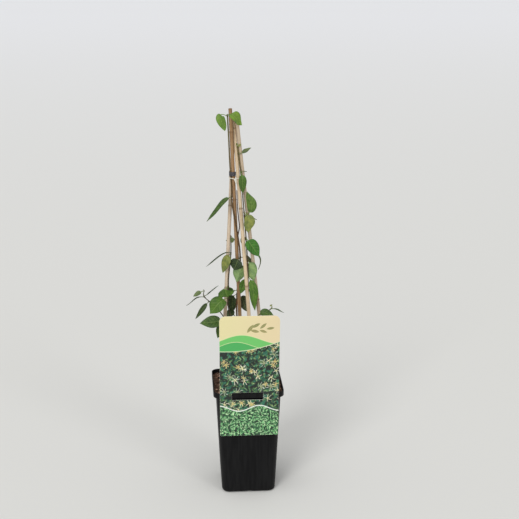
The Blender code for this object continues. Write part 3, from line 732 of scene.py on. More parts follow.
def crumb_paint():
    """Bark chips and peat crumbs, each with its own colour."""
    paint = Paint("bark_crumbs", Roughness=0.85, Specular_IOR_Level=0.25)
    place = paint.place()
    rough = paint.noise(place, 1.6, 5, 0.7)
    layers = paint.noise(place, 0.9, 3, stretch=(0.4, 0.4, 3.0))
    shade = rough.ramp(0.3, 0.7, (0.35, 0.30, 0.28), (1.25, 1.15, 1.1))
    return paint.finish(paint.tint(paint.stored("tone", "Color"), shade), rough + layers, 0.8, 0.6)


def bamboo_paint(name, streak_colour, streak_share):
    """Dry bamboo with long streaks and fibres along the cane, weathered flecks and a soft gloss."""
    paint = Paint(name, Specular_IOR_Level=0.35)
    grain = paint.stored("grain", "Vector")
    fibres = paint.noise(grain, 2.4, 4, 0.6, (1, 1, 0.03))
    patches = paint.noise(grain, 0.22, stretch=(1, 1, 0.25))
    flecks = paint.noise(grain, 1.6, 2, stretch=(1, 1, 0.2))
    streaks = paint.noise(grain, 0.55, 3, stretch=(1, 1, 0.012))
    shade = fibres.ramp(0.3, 0.7, (0.84, 0.79, 0.73), (1.10, 1.10, 1.10))
    colour = paint.tint(paint.stored("tone", "Color"), shade)
    colour = paint.mix(streaks.step(0.47, 0.62, 0, streak_share), colour, streak_colour)
    colour = paint.mix(patches.step(0.55, 0.75, 0, streak_share * 0.7), colour, streak_colour)
    colour = paint.mix(flecks.step(0.70, 0.78, 0, 0.6), colour, (0.13, 0.07, 0.03))
    return paint.finish(colour, fibres, 0.35, 0.25, fibres.step(0.3, 0.7, 0.62, 0.42))


def stem_paint():
    """Thin bark with fine lengthwise cracks and pale lenticels."""
    paint = Paint("stem_bark", Roughness=0.62, Specular_IOR_Level=0.35)
    grain = paint.stored("grain", "Vector")
    cracks = paint.noise(grain, 1.9, 5, 0.65, (1, 1, 0.12))
    lenticels = paint.noise(grain, 1.3, 1, stretch=(0.9, 0.9, 0.6))
    shade = cracks.ramp(0.35, 0.65, (0.55, 0.50, 0.46), (1.30, 1.25, 1.2))
    colour = paint.tint(paint.stored("tone", "Color"), shade)
    colour = paint.mix(lenticels.step(0.68, 0.74, 0, 0.6), colour, (0.34, 0.25, 0.15))
    return paint.finish(colour, cracks, 0.5, 0.3)


def leaf_paint():
    """Leaf with a pale midrib and side veins, a paler underside, a satin upper face and painted shade that
    darkens its margin.
    """
    paint = Paint("leaf_green", Specular_IOR_Level=0.30, Sheen_Weight=0.03, Sheen_Roughness=0.5)
    place = paint.place()
    side = abs(paint.stored("blade_v"))
    upper = paint.stored("upper")
    wave = (paint.stored("blade_u") - side ** 1.25 * VEIN_SWEEP) * VEINS
    side_vein = paint.math("PINGPONG", wave, 0.5).step(0.075, 0.015) * side.step(0.95, 0.60, 0.25, 1.0)
    net = paint.node("TexVoronoi", {"Vector": place, "Scale": 0.95}, "Distance",
                     feature="DISTANCE_TO_EDGE")
    veins = paint.math("MAXIMUM", side_vein, side.step(0.075, 0.03))
    veins = paint.math("MAXIMUM", veins, net.step(0.07, 0.01, 0, 0.35))
    blotch = paint.noise(place, 0.13)
    mottle = paint.noise(place, 1.1)
    spots = paint.noise(place, 0.55, 2)
    shade = blotch.ramp(0.3, 0.7, (0.58, 0.66, 0.64), (1.28, 1.20, 1.08))
    colour = paint.tint(paint.stored("tone", "Color"), shade)
    colour = paint.mix(mottle.step(0.35, 0.70, 0, 0.14), colour, (0.20, 0.33, 0.05))
    top_face = paint.mix(veins * 0.55, colour, paint.mix(0.45, colour, (0.40, 0.50, 0.16)))
    under = paint.tint(paint.mix(0.12, colour, (0.16, 0.20, 0.11)), (1.25, 1.20, 1.30))
    under = paint.mix(veins * 0.45, under, paint.mix(0.35, under, (0.44, 0.54, 0.30)))
    colour = paint.mix(upper, under, top_face)
    colour = paint.mix(spots.step(0.74, 0.78, 0, 0.7), colour, (0.16, 0.10, 0.035))
    # Painted shade: the blade darkens towards its margin.
    margin = side.step(0.70, 1.0) * 0.55
    colour = paint.mix(margin, colour, paint.tint(colour, (0.45, 0.52, 0.50)))
    return paint.finish(colour, mottle * 0.4 - veins, 0.35, 0.15, upper.step(0, 1, 0.65, 0.48))


def lens_motif(paint, flat, place, length, width, turn):
    """Share of a leaf-shaped motif of the given size and turn, and distance from its middle line."""
    inputs = {"Vector": flat, "Location": (*place, 0), "Rotation": (0, 0, math.radians(turn)),
              "Scale": (length / 2, width / 2, 1)}
    u, v, _ = paint.split(paint.node("Mapping", inputs, vector_type="TEXTURE"))
    aside = abs(v)
    return (1.0 - u * u - aside).step(0, 0.12), aside


def scattered(paint, flat, cell, offset):
    """Coordinates from the nearest of many scattered points, randomly turned, and its colour."""
    moved = paint.vector("ADD", flat, (*offset, 0))
    inputs = {"Vector": moved, "Scale": 1 / cell, "Randomness": 0.85}
    point, colour = paint.node("TexVoronoi", inputs, ("Position", "Color"), voronoi_dimensions="2D")
    dice = paint.split(colour, "SeparateColor")
    inputs = {"Vector": paint.vector("SUBTRACT", moved, point), "Angle": dice[0] * (2 * math.pi)}
    return paint.split(paint.node("VectorRotate", inputs, rotation_type="Z_AXIS")), dice


def leaf_layer(paint, flat, below, cell, offset, length, width, dark, light):
    """One layer of scattered printed leaves over the colour below."""
    (x, y, _), (_, lightness, _) = scattered(paint, flat, cell, offset)
    u, v = x / (length / 2), abs(y / (width / 2))
    room = 1.0 - u * u - v
    colour = paint.mix(lightness, dark, light)
    colour = paint.mix(v.step(0.16, 0.05, 0, 0.5), colour, light)
    colour = paint.mix(room.step(0.30, 0.0, 0, 0.45), colour, dark)
    return paint.mix(room.step(0, 0.15), below, colour)


def blossom_layer(paint, flat, below, cell, offset, radius, spokes, petal, heart, rarity):
    """One layer of scattered blossom heads, each a round heart with slender spokes for petals."""
    (x, y, _), (tone, _, chance) = scattered(paint, flat, cell, offset)
    distance = paint.node("VectorMath", {0: paint.join(x, y)}, "Value", operation="LENGTH")
    spoke = abs(paint.math("SINE", paint.math("ARCTAN2", y, x) * (spokes / 2)))
    share = (distance * spoke).step(PETAL_HALF * spokes / 2, PETAL_HALF * spokes / 5)
    share = share * distance.step(radius, radius * 0.75) * paint.math("GREATER_THAN", chance, rarity)
    shade = paint.mix(tone, petal, blend_colours(petal, heart, 0.6))
    return paint.mix(share, below, distance.ramp(radius * 0.15, radius * 0.55, heart, shade))


def swell(paint, x, span, start, rise, middle):
    """Height of a wavy line across the card."""
    return paint.math("SINE", x * (2 * math.pi / span) + start) * rise + middle


def print_paint():
    """Printed front of the card: a head with hills and a sprig, a blossoming thicket and a hedge."""
    paint = Paint("label_print", Roughness=0.32, Coat_Weight=0.2, Coat_Roughness=0.15)
    x, _, z = paint.split(paint.place())
    plain = paint.join(x, z)
    drift = paint.noise(plain, 0.11, output="Color")
    flat = paint.vector("ADD", plain, paint.vector("MULTIPLY", drift, (9, 9, 0)))
    rough = paint.noise(flat, 0.16, 5)
    gaps = paint.noise(flat, 0.17)
    light_part = paint.noise(plain, 0.035, 2).step(0.40, 0.62).step(0, 1, 0.72, 1.0)
    thicket = rough.ramp(0.35, 0.65, (0.003, 0.010, 0.008), (0.014, 0.055, 0.030))
    for layer in THICKET_LEAVES:
        thicket = leaf_layer(paint, flat, thicket, *layer)
    thicket = paint.mix(gaps.step(0.45, 0.53, 0.95, 0), thicket, (0.003, 0.008, 0.006))
    for layer in BLOSSOMS:
        thicket = blossom_layer(paint, flat, thicket, *layer)
    hedge = rough.ramp(0.35, 0.65, (0.003, 0.018, 0.008), (0.020, 0.085, 0.035))
    for layer in HEDGE_LEAVES:
        hedge = paint.mix(light_part, hedge, leaf_layer(paint, flat, hedge, *layer))
    above_line = z - swell(paint, x, 62, 0, 4.5, 150.0)
    picture = above_line.ramp(-0.2, 0.2, hedge, thicket)
    picture = abs(above_line).ramp(0.95, 0.6, picture, (0.80, 0.86, 0.78))
    head = x.ramp(-50, 50, (0.74, 0.67, 0.36), (0.76, 0.63, 0.38))
    for place, length, width, turn, colour in SPRIG:
        share, aside = lens_motif(paint, plain, place, length, width, turn)
        tint = paint.mix(aside.step(0.14, 0.04, 0, 0.5), colour, (0.60, 0.62, 0.30))
        head = paint.mix(share, head, tint)
    for *wave, colour in HILLS:
        over = z - swell(paint, x, *wave)
        head = over.ramp(0.9, 0.6, head, (0.66, 0.74, 0.38))
        head = over.ramp(0.2, -0.2, head, colour)
    above_head = z - (((x + 30.0) / 60.0) ** 2.0 * 9.0 + 243.0)
    head = above_head.ramp(1.2, 0.9, head, (0.66, 0.74, 0.46))
    colour = above_head.ramp(-0.2, 0.2, picture, head)
    return paint.finish(colour, paint.noise(flat, 2.5, 2), 0.05, 0.1)


def card_paint():
    """Unprinted back and cut edges of the card."""
    paint = Paint("label_card", Roughness=0.5)
    pulp = paint.noise(paint.place(), 1.5, 5)
    return paint.finish(paint.mix(pulp, (0.70, 0.69, 0.62), (0.80, 0.79, 0.73)), pulp, 0.15, 0.15)


def wire_paint():
    paint = Paint("tie_wire", Roughness=0.38)
    scuffs = paint.noise(paint.place(), 1.1)
    return paint.finish(scuffs.ramp(0.5, 0.75, (0.82, 0.79, 0.68), (0.55, 0.49, 0.36)), scuffs, 0.15, 0.15)


def band_paint():
    paint = Paint("band_rubber", Specular_IOR_Level=0.4)
    place = paint.place()
    ribs = paint.noise(place, 2.5, 3, stretch=(0.15, 0.15, 1))
    colour = paint.noise(place, 0.6).ramp(0.4, 0.7, (0.040, 0.038, 0.044), (0.110, 0.102, 0.110))
    return paint.finish(colour, ribs, 0.4, 0.3, ribs.step(0.3, 0.7, 0.5, 0.7))


def rounded_square(half, radius, height, steps=12):
    """Points round a square with rounded corners, anticlockwise from the +X side."""
    inset = half - radius
    points = []
    for corner, (x, y) in enumerate(((1, 1), (-1, 1), (-1, -1), (1, -1))):
        rounding = arc(x * inset, y * inset, radius, 90 * corner, steps)
        points += [Vector((*place, height)) for place in rounding]
    return points


def body_half(height):
    """Half width of the pot's body outside its wall at a height."""
    return BASE_HALF + (RIM_HALF - LIP_STEP - BASE_HALF) * height / (POT_HEIGHT - LIP_HEIGHT)


def rounded_profile(corners, steps=4):
    """Profile whose corners (half width, height, corner radius, rounding) become small arcs."""
    result = []
    last = len(corners) - 1
    for index, (*place, rounding) in enumerate(corners):
        here = Vector(place)
        if rounding == 0 or index in (0, last):
            result.append(here)
            continue
        start = here + (Vector(corners[index - 1][:3]) - here).normalized() * rounding
        end = here + (Vector(corners[index + 1][:3]) - here).normalized() * rounding
        for step in range(steps + 1):
            t = step / steps
            result.append(start * (1 - t) ** 2 + here * (2 * t * (1 - t)) + end * t * t)
    return result


def pot_profile():
    """Profile of the pot from the outer edge of its base, up, over the rim and down to its floor."""
    body_top = POT_HEIGHT - LIP_HEIGHT
    step_top = body_top + WALL
    inner = BASE_RADIUS - WALL
    base = []
    for step in range(BASE_STEPS + 1):
        angle = math.radians(90 * step / BASE_STEPS)
        inset = BASE_ROUND * (1 - math.sin(angle))
        base.append((BASE_HALF - inset, BASE_ROUND * (1 - math.cos(angle)), BASE_RADIUS - inset))
    return base + rounded_profile([
        (body_half(20), 20, BASE_RADIUS, 0),
        (body_half(body_top), body_top, BODY_RADIUS, 0.6),
        (RIM_HALF, body_top, RIM_RADIUS, 0.8),
        (RIM_HALF, POT_HEIGHT, RIM_RADIUS, 0.6),
        (RIM_HALF - WALL, POT_HEIGHT, RIM_RADIUS - WALL, 0.5),
        (RIM_HALF - WALL, step_top, RIM_RADIUS - WALL, 0.8),
        (body_half(step_top) - WALL, step_top, inner, 0.6),
        (body_half(FLOOR + FLOOR_INSET) - WALL, FLOOR + FLOOR_INSET, inner, 1.2),
        (body_half(FLOOR) - WALL - FLOOR_INSET, FLOOR, inner - FLOOR_INSET, 0),
    ])


def cutter(name, radius, length, sides, place):
    bm = bmesh.new()
    bmesh.ops.create_cone(bm, cap_ends=True, segments=sides, radius1=radius * MM,
                          radius2=radius * MM, depth=length * MM)
    data = bpy.data.meshes.new(name)
    bm.to_mesh(data)
    bm.free()
    tool = new_object(name, data)
    tool.location = place * MM
    return tool


def make_pot(paint):
    shape = Shape()
    shape.add(*skin([rounded_square(half, radius, height) for half, height, radius in pot_profile()]))
    pot = new_object("pot_mould", mesh_of("pot_mould", shape))
    arch_radius = (ARCH_WIDTH ** 2 / 4 + ARCH_HEIGHT ** 2) / (2 * ARCH_HEIGHT)
    tools = []
    for side in range(4):
        angle = math.radians(90 * side)
        outward = Vector((math.cos(angle), math.sin(angle), 0))
        place = outward * (BASE_HALF + 1 - ARCH_DEPTH / 2) + Vector((0, 0, ARCH_HEIGHT - arch_radius))
        arch = cutter(f"arch_{side}", arch_radius, ARCH_DEPTH, 96, place)
        arch.rotation_euler = (0, math.radians(90), angle)
        place = outward * DRAIN_OFFSET + Vector((0, 0, FLOOR / 2))
        tools += [arch, cutter(f"drain_{side}", DRAIN_RADIUS, FLOOR * 3, 40, place)]
    for tool in tools:
        cut = pot.modifiers.new(tool.name, "BOOLEAN")
        cut.operation = "DIFFERENCE"
        cut.object = tool
    soften = pot.modifiers.new("edges", "BEVEL")
    soften.width = EDGE_ROUND * MM
    soften.segments = 2
    soften.limit_method = "ANGLE"
    soften.angle_limit = math.radians(50)
    data = evaluated_mesh(pot)
    for item in [pot, *tools]:
        bpy.data.objects.remove(item, do_unlink=True)
    add_piece("pot_shell", smooth(data, 35), [paint], "pot_plastic", "pot")


def soil_height(x, y):
    """Height of the soil's surface, clotted and a little higher in the middle."""
    place = Vector((x, y, 0))
    clots = noise.noise(place * 0.11) + 0.6 * noise.noise(place * 0.31)
    crumbs = 0.35 * noise.noise(place * 0.9)
    middle = 1 - min(1, (x * x + y * y) / RIM_HALF ** 2)
    return SOIL_TOP - 0.6 + SOIL_RELIEF * (clots + crumbs) * 0.7 + 1.2 * middle


def make_soil(paint):
    step_top = POT_HEIGHT - LIP_HEIGHT + WALL + GAP
    rim_half, rim_radius = RIM_HALF - WALL - GAP, RIM_RADIUS - WALL
    corner = BASE_RADIUS - WALL
    edge = rounded_square(rim_half, rim_radius, 0, SOIL_CORNER_STEPS)
    rings = [rounded_square(half, radius, height, SOIL_CORNER_STEPS) for half, radius, height in (
        (body_half(FLOOR) - WALL - FLOOR_INSET - GAP, corner - FLOOR_INSET, FLOOR + GAP),
        (body_half(FLOOR + FLOOR_INSET) - WALL - GAP, corner, FLOOR + FLOOR_INSET + GAP),
        (body_half(step_top) - WALL - GAP, corner, step_top),
        (rim_half, rim_radius, step_top))]
    for index in range(SOIL_RINGS):
        share = 1 - index / SOIL_RINGS
        places = [(point.x * share, point.y * share) for point in edge]
        rings.append([Vector((x, y, max(step_top + 0.2, soil_height(x, y)))) for x, y in places])
    add_skin("soil_bed", rings, paint, "potting_soil", "soil", 70)


def make_crumbs(paint, canes, stems):
    """Bark chips and peat crumbs lying on the soil, clear of the canes and stems."""
    dice = random.Random(11)
    bm = bmesh.new()
    bmesh.ops.create_icosphere(bm, subdivisions=2, radius=1.0)
    ball = [vert.co.copy() for vert in bm.verts]
    ball_faces = [tuple(vert.index for vert in face.verts) for face in bm.faces]
    bm.free()
    uprights = [point_at_height(route, SOIL_TOP)[0] for route in [*canes.values(), *stems.values()]
                if route[0].z < SOIL_TOP]
    limit = RIM_HALF - WALL - CRUMB_MARGIN
    shape = Shape()
    made = 0
    while made < CRUMBS:
        x, y = dice.uniform(-limit, limit), dice.uniform(-limit, limit)
        sizes, widths, heights, dark, light = BARK_CHIP if dice.random() < BARK_SHARE else PEAT_CRUMB
        size = dice.uniform(*sizes)
        corner = max(abs(x) - CRUMB_CORNER, 0) ** 2 + max(abs(y) - CRUMB_CORNER, 0) ** 2
        near = min((point.x - x) ** 2 + (point.y - y) ** 2 for point in uprights)
        in_slot = y < TONGUE_BACK and WINDOW[0] - TONGUE_CLEAR < x < WINDOW[1] + TONGUE_CLEAR
        if corner > CRUMB_ROUND ** 2 or near < (size + CRUMB_CLEAR) ** 2 or in_slot:
            continue
        flat = (1.0, dice.uniform(*widths), dice.uniform(*heights))
        turn = dice.uniform(0, 2 * math.pi)
        tilt = dice.uniform(-0.5, 0.5)
        seed = Vector((dice.uniform(0, 99), dice.uniform(0, 99), dice.uniform(0, 99)))
        verts = []
        for point in ball:
            rough = 1 + 0.45 * noise.noise(point * 1.3 + seed) + 0.2 * noise.noise(point * 3 + seed)
            along, aside, up = (point[axis] * flat[axis] * size * rough for axis in range(3))
            up += along * tilt
            verts.append(Vector((x + along * math.cos(turn) - aside * math.sin(turn),
                                 y + along * math.sin(turn) + aside * math.cos(turn),
                                 soil_height(x, y) + up + flat[2] * size * 0.45)))
        tone = blend_colours(dark, light, dice.random())
        shape.add(verts, ball_faces, tone=[tone] * len(verts))
        made += 1
    add_piece("soil_crumbs", mesh_of("soil_crumbs", shape, 60), [paint], "potting_soil")


def card_outline():
    """Outline of the card with an arc at each corner, as (x, z)."""
    points = []
    for side, up, start in ((1, -1, 270), (1, 1, 0), (-1, 1, 90), (-1, -1, 180)):
        radius = CARD_CORNER if up > 0 else CARD_FOOT_CORNER
        x = CARD_SHIFT + side * (CARD_WIDTH / 2 - radius)
        if side > 0 > up:
            x -= CARD_TAPER
        points += arc(x, CARD_TOP - radius if up > 0 else CARD_BOTTOM + radius, radius, start, 12)
    return points


def window_outline():
    """Outline of the tongue's window, with small arcs at its lower corners."""
    left, right, low, high = WINDOW
    points = [(right, high), (left, high)]
    for x, start in ((left + WINDOW_CORNER, 180), (right - WINDOW_CORNER, 270)):
        points += arc(x, low + WINDOW_CORNER, WINDOW_CORNER, start, 6)
    return points


def make_label(print_side, plain_side):
    curve = bpy.data.curves.new("card", "CURVE")
    curve.dimensions = "2D"
    curve.fill_mode = "BOTH"
    curve.extrude = (CARD_THICKNESS / 2 - CARD_EDGE) * MM
    curve.bevel_depth = CARD_EDGE * MM
    curve.bevel_resolution = 2
    curve.offset = -CARD_EDGE * MM
    for outline in (card_outline(), window_outline()):
        spline = curve.splines.new("POLY")
        spline.points.add(len(outline) - 1)
        for point, (x, z) in zip(spline.points, outline):
            point.co = (x * MM, z * MM, 0, 1)
        spline.use_cyclic_u = True
    holder = new_object("card", curve)
    data = evaluated_mesh(holder)
    bpy.data.objects.remove(holder, do_unlink=True)
    bm = bmesh.new()
    bm.from_mesh(data)
    bmesh.ops.remove_doubles(bm, verts=bm.verts, dist=1e-6)
    for vert in bm.verts:
        vert.co = Vector((vert.co.x, CARD_PLANE * MM - vert.co.z, vert.co.y))
    add_tongue(bm)
    bmesh.ops.recalc_face_normals(bm, faces=bm.faces)
    front = (CARD_PLANE - CARD_THICKNESS / 2) * MM
    for face in bm.faces:
        face.material_index = 0 if all(abs(vert.co.y - front) < 1e-5 for vert in face.verts) else 1
    bm.to_mesh(data)
    bm.free()
    add_piece("picture_label", smooth(data, 35), [print_side, plain_side], "label_card", "label")


def add_tongue(bm):
    """Strip of card that bends from the top of the window over the rim."""
    route = smooth_route([Vector((0, y, z)) for y, z in TONGUE_ROUTE], 0.8)
    half = CARD_THICKNESS / 2 * 0.96
    left, right = WINDOW[0] + GAP, WINDOW[1] - GAP
    rows = []
    for index, point in enumerate(route):
        along = route[min(len(route) - 1, index + 1)] - route[max(0, index - 1)]
        outward = along.normalized().cross(Vector((1, 0, 0)))
        rows.append([Vector((x, point.y, point.z)) + outward * (half * side)
                     for x, side in ((left, 1), (right, 1), (right, -1), (left, -1))])
    places, faces = skin(rows)
    verts = [bm.verts.new(place * MM) for place in places]
    for face in faces:
        bm.faces.new([verts[index] for index in face])


def make_canes(paints, canes):
    for name, coarse in canes.items():
        route = smooth_route(coarse, 1.5)
        length = distances(route)[-1]
        (first, spacing), base_tone, _ = CANES[name]
        nodes = [first + spacing * index for index in range(12) if first + spacing * index < length - 6]
        wanted = levels(length, 4.0, nodes, 4.0, 0.4)
        seed = Vector((len(name) * 7.3, spacing, first))
        dark_tone = blend_colours(base_tone, CANE_STAIN, 0.72)

        def radius_at(distance, angle):
            node_part = 0.0
            for number, node in enumerate(nodes):
                offset = distance - node
                node_part += NODE_SWELL * hill(offset, 1.0) - NODE_DIP * hill(offset - 1.9, 0.8)
                groove_side = math.cos(angle - number * math.pi - seed.x)
                if 0 < offset < GROOVE_LENGTH and groove_side > 0:
                    node_part -= GROOVE_DEPTH * groove_side ** 6 * (1 - offset / GROOVE_LENGTH)
            place = Vector((math.cos(angle) * 1.1, math.sin(angle) * 1.1, distance * 0.035))
            taper = 1.02 - 0.07 * distance / length
            return CANE_RADIUS * taper + node_part + CANE_WAVER * noise.noise(place + seed)

        rings, grain = sweep(route, wanted, CANE_SIDES, radius_at)
        tones = []
        for distance in wanted:
            dark = (highest_hill(distance - 0.6, nodes, 1.3, 1.0)
                    + highest_hill(distance + 6, nodes, 7, 0.45) + 0.85 * hill(distance - length, 2.5))
            tones += [blend_colours(base_tone, dark_tone, min(1, dark))] * CANE_SIDES
        top = rings[-1]
        centre = sum(top, Vector()) / CANE_SIDES
        along = (centre - sum(rings[-2], Vector()) / CANE_SIDES).normalized()
        # The cut top: a pith-coloured rim, then a shallow hollow coloured near black as painted shade.
        for scale, sink in ((0.93, -0.25), (0.46, -0.1), (0.38, 2.0), (0.30, 3.5)):
            rings.append([centre + (point - centre) * scale - along * sink for point in top])
            grain += [point + Vector((0, 0, 3)) for point in grain[-CANE_SIDES:]]
            tones += [PITH_COLOUR if sink < 1 else HOLLOW_SHADE] * CANE_SIDES
        slot = "bamboo_brown" if name == "back" else "bamboo"
        add_skin(f"bamboo_{name}", rings, paints[slot], slot, f"cane_{name}", grain=grain, tone=tones)


def add_bud(shape, base, direction, tone):
    """Small pointed bud that stands out from a stem."""
    across = direction.orthogonal().normalized()
    other = direction.cross(across)
    circle = [2 * math.pi * side / BUD_SIDES for side in range(BUD_SIDES)]
    rings = []
    for share, width in BUD_PROFILE:
        centre = base + direction * (BUD_LENGTH * share)
        rings.append([centre + (across * math.cos(turn) + other * math.sin(turn)) * (BUD_RADIUS * width)
                      for turn in circle])
    verts, faces = skin(rings)
    shape.add(verts, faces, grain=[point.copy() for point in verts], tone=[tone] * len(verts))


def make_stems(paint, stems):
    for name, coarse in stems.items():
        route = smooth_route(coarse, 1.0)
        known = distances(route)
        length = known[-1]
        leaves = [leaf for leaf in LEAVES if leaf[1] == name]
        knots = [known[min(range(len(route)), key=lambda index: abs(route[index].z - leaf[2]))]
                 for leaf in leaves]
        wanted = levels(length, 2.0, knots, 2.4, 0.6)
        seed = Vector((length, len(name), 3.1))

        def radius_at(distance, angle):
            place = Vector((math.cos(angle), math.sin(angle), distance * 0.11))
            ribs = STEM_RIBS * math.cos(3 * angle + distance * 0.09)
            tip = min(1, (length - distance + 0.35) / 1.6)
            return (stem_radius(name, distance / length) * (1 + ribs) * tip
                    + highest_hill(distance, knots, 1.1, KNOT_SWELL)
                    + STEM_WAVER * noise.noise(place + seed))

        rings, grain = sweep(route, wanted, STEM_SIDES, radius_at)
        low_tone, high_tone = STEMS[name][1]
        tones = []
        for distance in wanted:
            tone = blend_colours(low_tone, high_tone, (distance / length) ** 4)
            knot_dark = highest_hill(distance, knots, 1.4, 0.5)
            tones += [blend_colours(tone, KNOT_COLOUR, knot_dark)] * STEM_SIDES
        shape = Shape()
        shape.add(*skin(rings), grain=grain, tone=tones)
        for leaf in leaves:
            base, along, outward = leaf_seat(stems, leaf)
            add_bud(shape, base + outward * 0.2 + along * 0.7, (along * 0.8 + outward * 0.6).normalized(),
                    blend_colours(high_tone, BUD_COLOUR, 0.5))
        node = name if name.startswith("shoot") else f"stem_{name}"
        add_piece(f"vine_{name}", mesh_of(f"vine_{name}", shape), [paint], "stem_bark", node)


def wrap(discs, clearance, first, last, step, height):
    """Points round the outside of several discs (x, y, radius), between two angles."""
    points = []
    count = round((last - first) / step)
    for index in range(count + 1):
        angle = math.radians(first + (last - first) * index / count)
        normal = Vector((math.cos(angle), math.sin(angle)))
        x, y, radius = max(discs, key=lambda disc: disc[0] * normal.x + disc[1] * normal.y + disc[2])
        edge = Vector((x, y)) + normal * (radius + clearance)
        points.append(Vector((edge.x, edge.y, height)))
    return points


def discs_at(height, canes, stems, cane_names, stem_names):
    """Sections of the named canes and stems at a height."""
    routes = [(canes[name], CANE_RADIUS) for name in cane_names]
    routes += [(stems[name], max(STEMS[name][0])) for name in stem_names]
    return [(*point_at_height(route, height)[0].xy, radius) for route, radius in routes]


def make_tie(paint, canes, stems):
    """Wire loop round everything, whose two ends are twisted together in front and hang down."""
    discs = discs_at(TIE_HEIGHT, canes, stems, CANES, ("main", "front"))
    loop = wrap(discs, TIE_CLEAR + TIE_RADIUS, *TIE_ANGLES, TIE_HEIGHT)
    start, end = loop[0], loop[-1]
    knot = Vector(((start.x + end.x) / 2, min(start.y, end.y) - 0.4, TIE_HEIGHT))
    tails = []
    for phase in (0, math.pi):
        tail = []
        for index in range(1, TAIL_STEPS + 1):
            share = index / TAIL_STEPS
            angle = phase + 2 * math.pi * TAIL_TURNS * share
            apart = TIE_RADIUS * (1.05 + 1.2 * max(0, share - 0.8))
            tail.append(knot + Vector((apart * math.cos(angle) + TAIL_ASIDE * share,
                                       apart * math.sin(angle) - TAIL_OUT - TAIL_LEAN * share,
                                       -TAIL_LENGTH * share)))
        tails.append(tail)
    route = smooth_route(tails[0][::-1] + loop + tails[1], 0.5)
    length = distances(route)[-1]

    def radius_at(distance, angle):
        return TIE_RADIUS * min(1, 0.55 + min(distance, length - distance))

    rings, _ = sweep(route, levels(length, 0.6), TIE_SIDES, radius_at)
    add_skin("wire_tie", rings, paint, "tie_wire", "twist_tie")


def make_band(paint, canes, stems):
    """Strip wound twice round the left and back canes and the main stem, its end lapped over."""
    discs = [disc for height in (BAND_LOW, BAND_HIGH)
             for disc in discs_at(height, canes, stems, ("left", "back"), ("main",))]
    route = wrap(discs, BAND_CLEAR, *BAND_ANGLES, 0)
    middle = sum((Vector((x, y, 0)) for x, y, _ in discs), Vector()) / len(discs)
    rings = []
    for index, point in enumerate(route):
        share = index / (len(route) - 1)
        outward = (point - middle).normalized()
        height = (BAND_LOW + BAND_HIGH) / 2 + BAND_CLIMB * (share - 0.5)
        half = BAND_HALF + BAND_WAVER * math.sin(9 * share)
        rings.append([point + outward * (0.05 + BAND_LAP * share + depth)
                      + Vector((0, 0, height + across * half)) for across, depth in BAND_SECTION])
    add_skin("band_strip", rings, paint, "band_rubber", "grey_band")


def blade_half(share, width):
    """Half width of an ovate blade, share 0 at its base and 1 at its tip."""
    broadest = BLADE_POWER / (1 + BLADE_POWER)
    peak = broadest ** BLADE_POWER * (1 - broadest)
    return max(TIP_HALF, width / 2 * share ** BLADE_POWER * (1 - share) / peak)


def droop(share):
    """Weight of the midrib's bow, which is 1 a third of the way along, and its slope."""
    return 6.75 * share * (1 - share) ** 2, 6.75 * (1 - share) * (1 - 3 * share)


def midrib(base, reach, bow, curl, along):
    """Point and direction of the midrib, along counted 0 to 1 on the blade and 1 to 2 on a curl."""
    if along <= 1:
        weight, slope = droop(along)
        return base + reach * along + bow * weight, (reach + bow * slope).normalized()
    past = along - 1
    bend = reach.normalized() * (curl.length * 0.4)
    point = base + reach + bend * (2 * past * (1 - past)) + curl * past ** 2
    return point, (bend * (2 - 4 * past) + curl * (2 * past)).normalized()


def leaf_seat(stems, leaf):
    """Foot of a leaf's stalk in the stem, the stem's direction and the way out of it."""
    _, stem, height, reach, bow, *_ = leaf
    route = stems[stem]
    node, direction = point_at_height(route, height)
    outward = Vector(reach) + Vector(bow) * droop(0)[1]
    outward -= direction * outward.dot(direction)
    radius = stem_radius(stem, (height - route[0].z) / (route[-1].z - route[0].z))
    return node + outward.normalized() * (radius - STALK_SEAT), direction, outward.normalized()


def blade_relief(share, across, width, seed):
    """Height of the blade over its fold: quilting between the veins and a wavy margin."""
    side = abs(across)
    wave = (share - VEIN_SWEEP * side ** 1.25) * VEINS
    quilt = (0.5 - 0.5 * math.cos(2 * math.pi * wave)) ** 0.8 * math.sin(math.pi * min(1, side * 1.1))
    phase = seed + (1.7 if across > 0 else 0)
    margin = math.sin(2 * math.pi * 1.6 * share + phase) * side * side
    broad = math.sin(2 * math.pi * 0.7 * share + seed * 2) * side
    return width * (QUILT * quilt + MARGIN_WAVE * margin + BROAD_WAVE * broad)


def leaf_places():
    """Places round a leaf's section: 1 on its upper and -1 on its lower face, and place across."""
    columns = [index / HALF_COLUMNS for index in range(-HALF_COLUMNS, HALF_COLUMNS + 1)]
    return [(1, across) for across in columns] + [(-1, across) for across in columns[-2:0:-1]]


def leaf_ring(middle, side, normal, half, share, width, seed, stalk_share):
    """Closed section of a leaf: a round stalk that opens into a thin folded blade."""
    ring = []
    for face, across in leaf_places():
        x = across * half
        y = abs(across) * half * math.sin(LEAF_FOLD) + blade_relief(share, across, width, seed)
        edge = math.sqrt(max(0, 1 - abs(across) ** 6))
        rib = hill(x, RIB_WIDTH) * (1 - 0.6 * share)
        thick = LEAF_THICKNESS / 2 * edge * face - (RIB_GROOVE if face > 0 else RIB_RIDGE) * rib
        blade_point = side * (x * math.cos(LEAF_FOLD)) + normal * (y + thick)
        turn = math.pi / 2 * across
        stalk_point = (side * math.sin(turn) + normal * (face * math.cos(turn))) * STALK_RADIUS
        ring.append(middle + stalk_point.lerp(blade_point, 1 - stalk_share))
    return ring


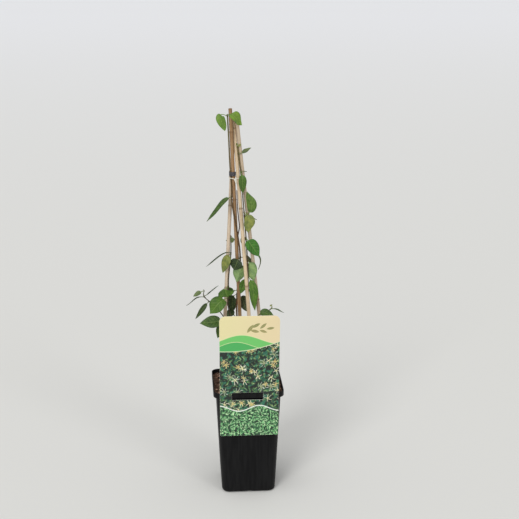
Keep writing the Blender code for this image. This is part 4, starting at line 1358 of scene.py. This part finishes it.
def make_leaf(paint, stems, leaf):
    name, _, _, reach, bow, width, face, tone, *extra = leaf
    base, _, _ = leaf_seat(stems, leaf)
    reach, bow, face = Vector(reach), Vector(bow), Vector(face)
    curl = Vector(extra[0]) if extra else None
    stalk = min(STALK_SHARE, STALK_LENGTH / reach.length)
    dice = random.Random(name)
    seed = dice.uniform(0, 2 * math.pi)
    lightness = dice.uniform(0.86, 1.14)
    colour = tuple(part * lightness for part in LEAF_TONES[tone])
    alongs = [stalk * index / STALK_ROWS for index in range(STALK_ROWS)]
    alongs += [stalk + (1 - stalk) * (index / BLADE_ROWS) for index in range(BLADE_ROWS + 1)]
    if curl:
        alongs += [1 + (index + 1) / CURL_ROWS for index in range(CURL_ROWS)]
    places = leaf_places()
    rings, blade_u, blade_v, tones = [], [], [], []
    for along in alongs:
        share = min(1, max(0.0, (along - stalk) / (1 - stalk)))
        middle, tangent = midrib(base, reach, bow, curl, along)
        side = tangent.cross(face).normalized()
        normal = side.cross(tangent).normalized()
        half = max(STALK_RADIUS * (1 - share), blade_half(share, width))
        open_share = min(1, share / OPENING)
        stalk_share = max(1 - open_share * open_share * (3 - 2 * open_share), 0.0)
        tip_darkening = 0
        if curl:
            half = max(half, CURL_HALF * (1 - CURL_TAPER * max(0, along - 1)))
            # The blade's end and its curled tip darken towards the dusk tone.
            tip_darkening = min(1, max(0, 5 * along - 4.6))
        rings.append(leaf_ring(middle, side, normal, half, share, width * min(1, 4 * (1 - share) + 0.02),
                               seed, stalk_share))
        blade_u += [share] * len(places)
        blade_v += [across * (1 - stalk_share) for _, across in places]
        tones += [blend_colours(colour, LEAF_TONES["dusk"], tip_darkening)] * len(places)
    upper = [float(looks > 0) for looks, _ in places] * len(alongs)
    add_skin(f"blade_{name}", rings, paint, "leaf_green", f"leaf_{name}", 80, blade_u=blade_u,
             blade_v=blade_v, upper=upper, tone=tones)


def main():
    make_camera()
    make_studio()
    canes = {name: smooth_route([Vector(point) for point in points], CANE_STEP)
             for name, (_, _, points) in CANES.items()}
    stems = {name: stem_route(canes, radii, route) for name, (radii, _, route) in STEMS.items()}
    make_pot(pot_paint())
    make_soil(soil_paint())
    make_crumbs(crumb_paint(), canes, stems)
    make_label(print_paint(), card_paint())
    make_canes({"bamboo": bamboo_paint("bamboo", (0.44, 0.27, 0.15), 0.35),
                "bamboo_brown": bamboo_paint("bamboo_brown", (0.20, 0.095, 0.028), 0.85)}, canes)
    make_stems(stem_paint(), stems)
    make_tie(wire_paint(), canes, stems)
    make_band(band_paint(), canes, stems)
    green = leaf_paint()
    for leaf in LEAVES:
        make_leaf(green, stems, leaf)


main()
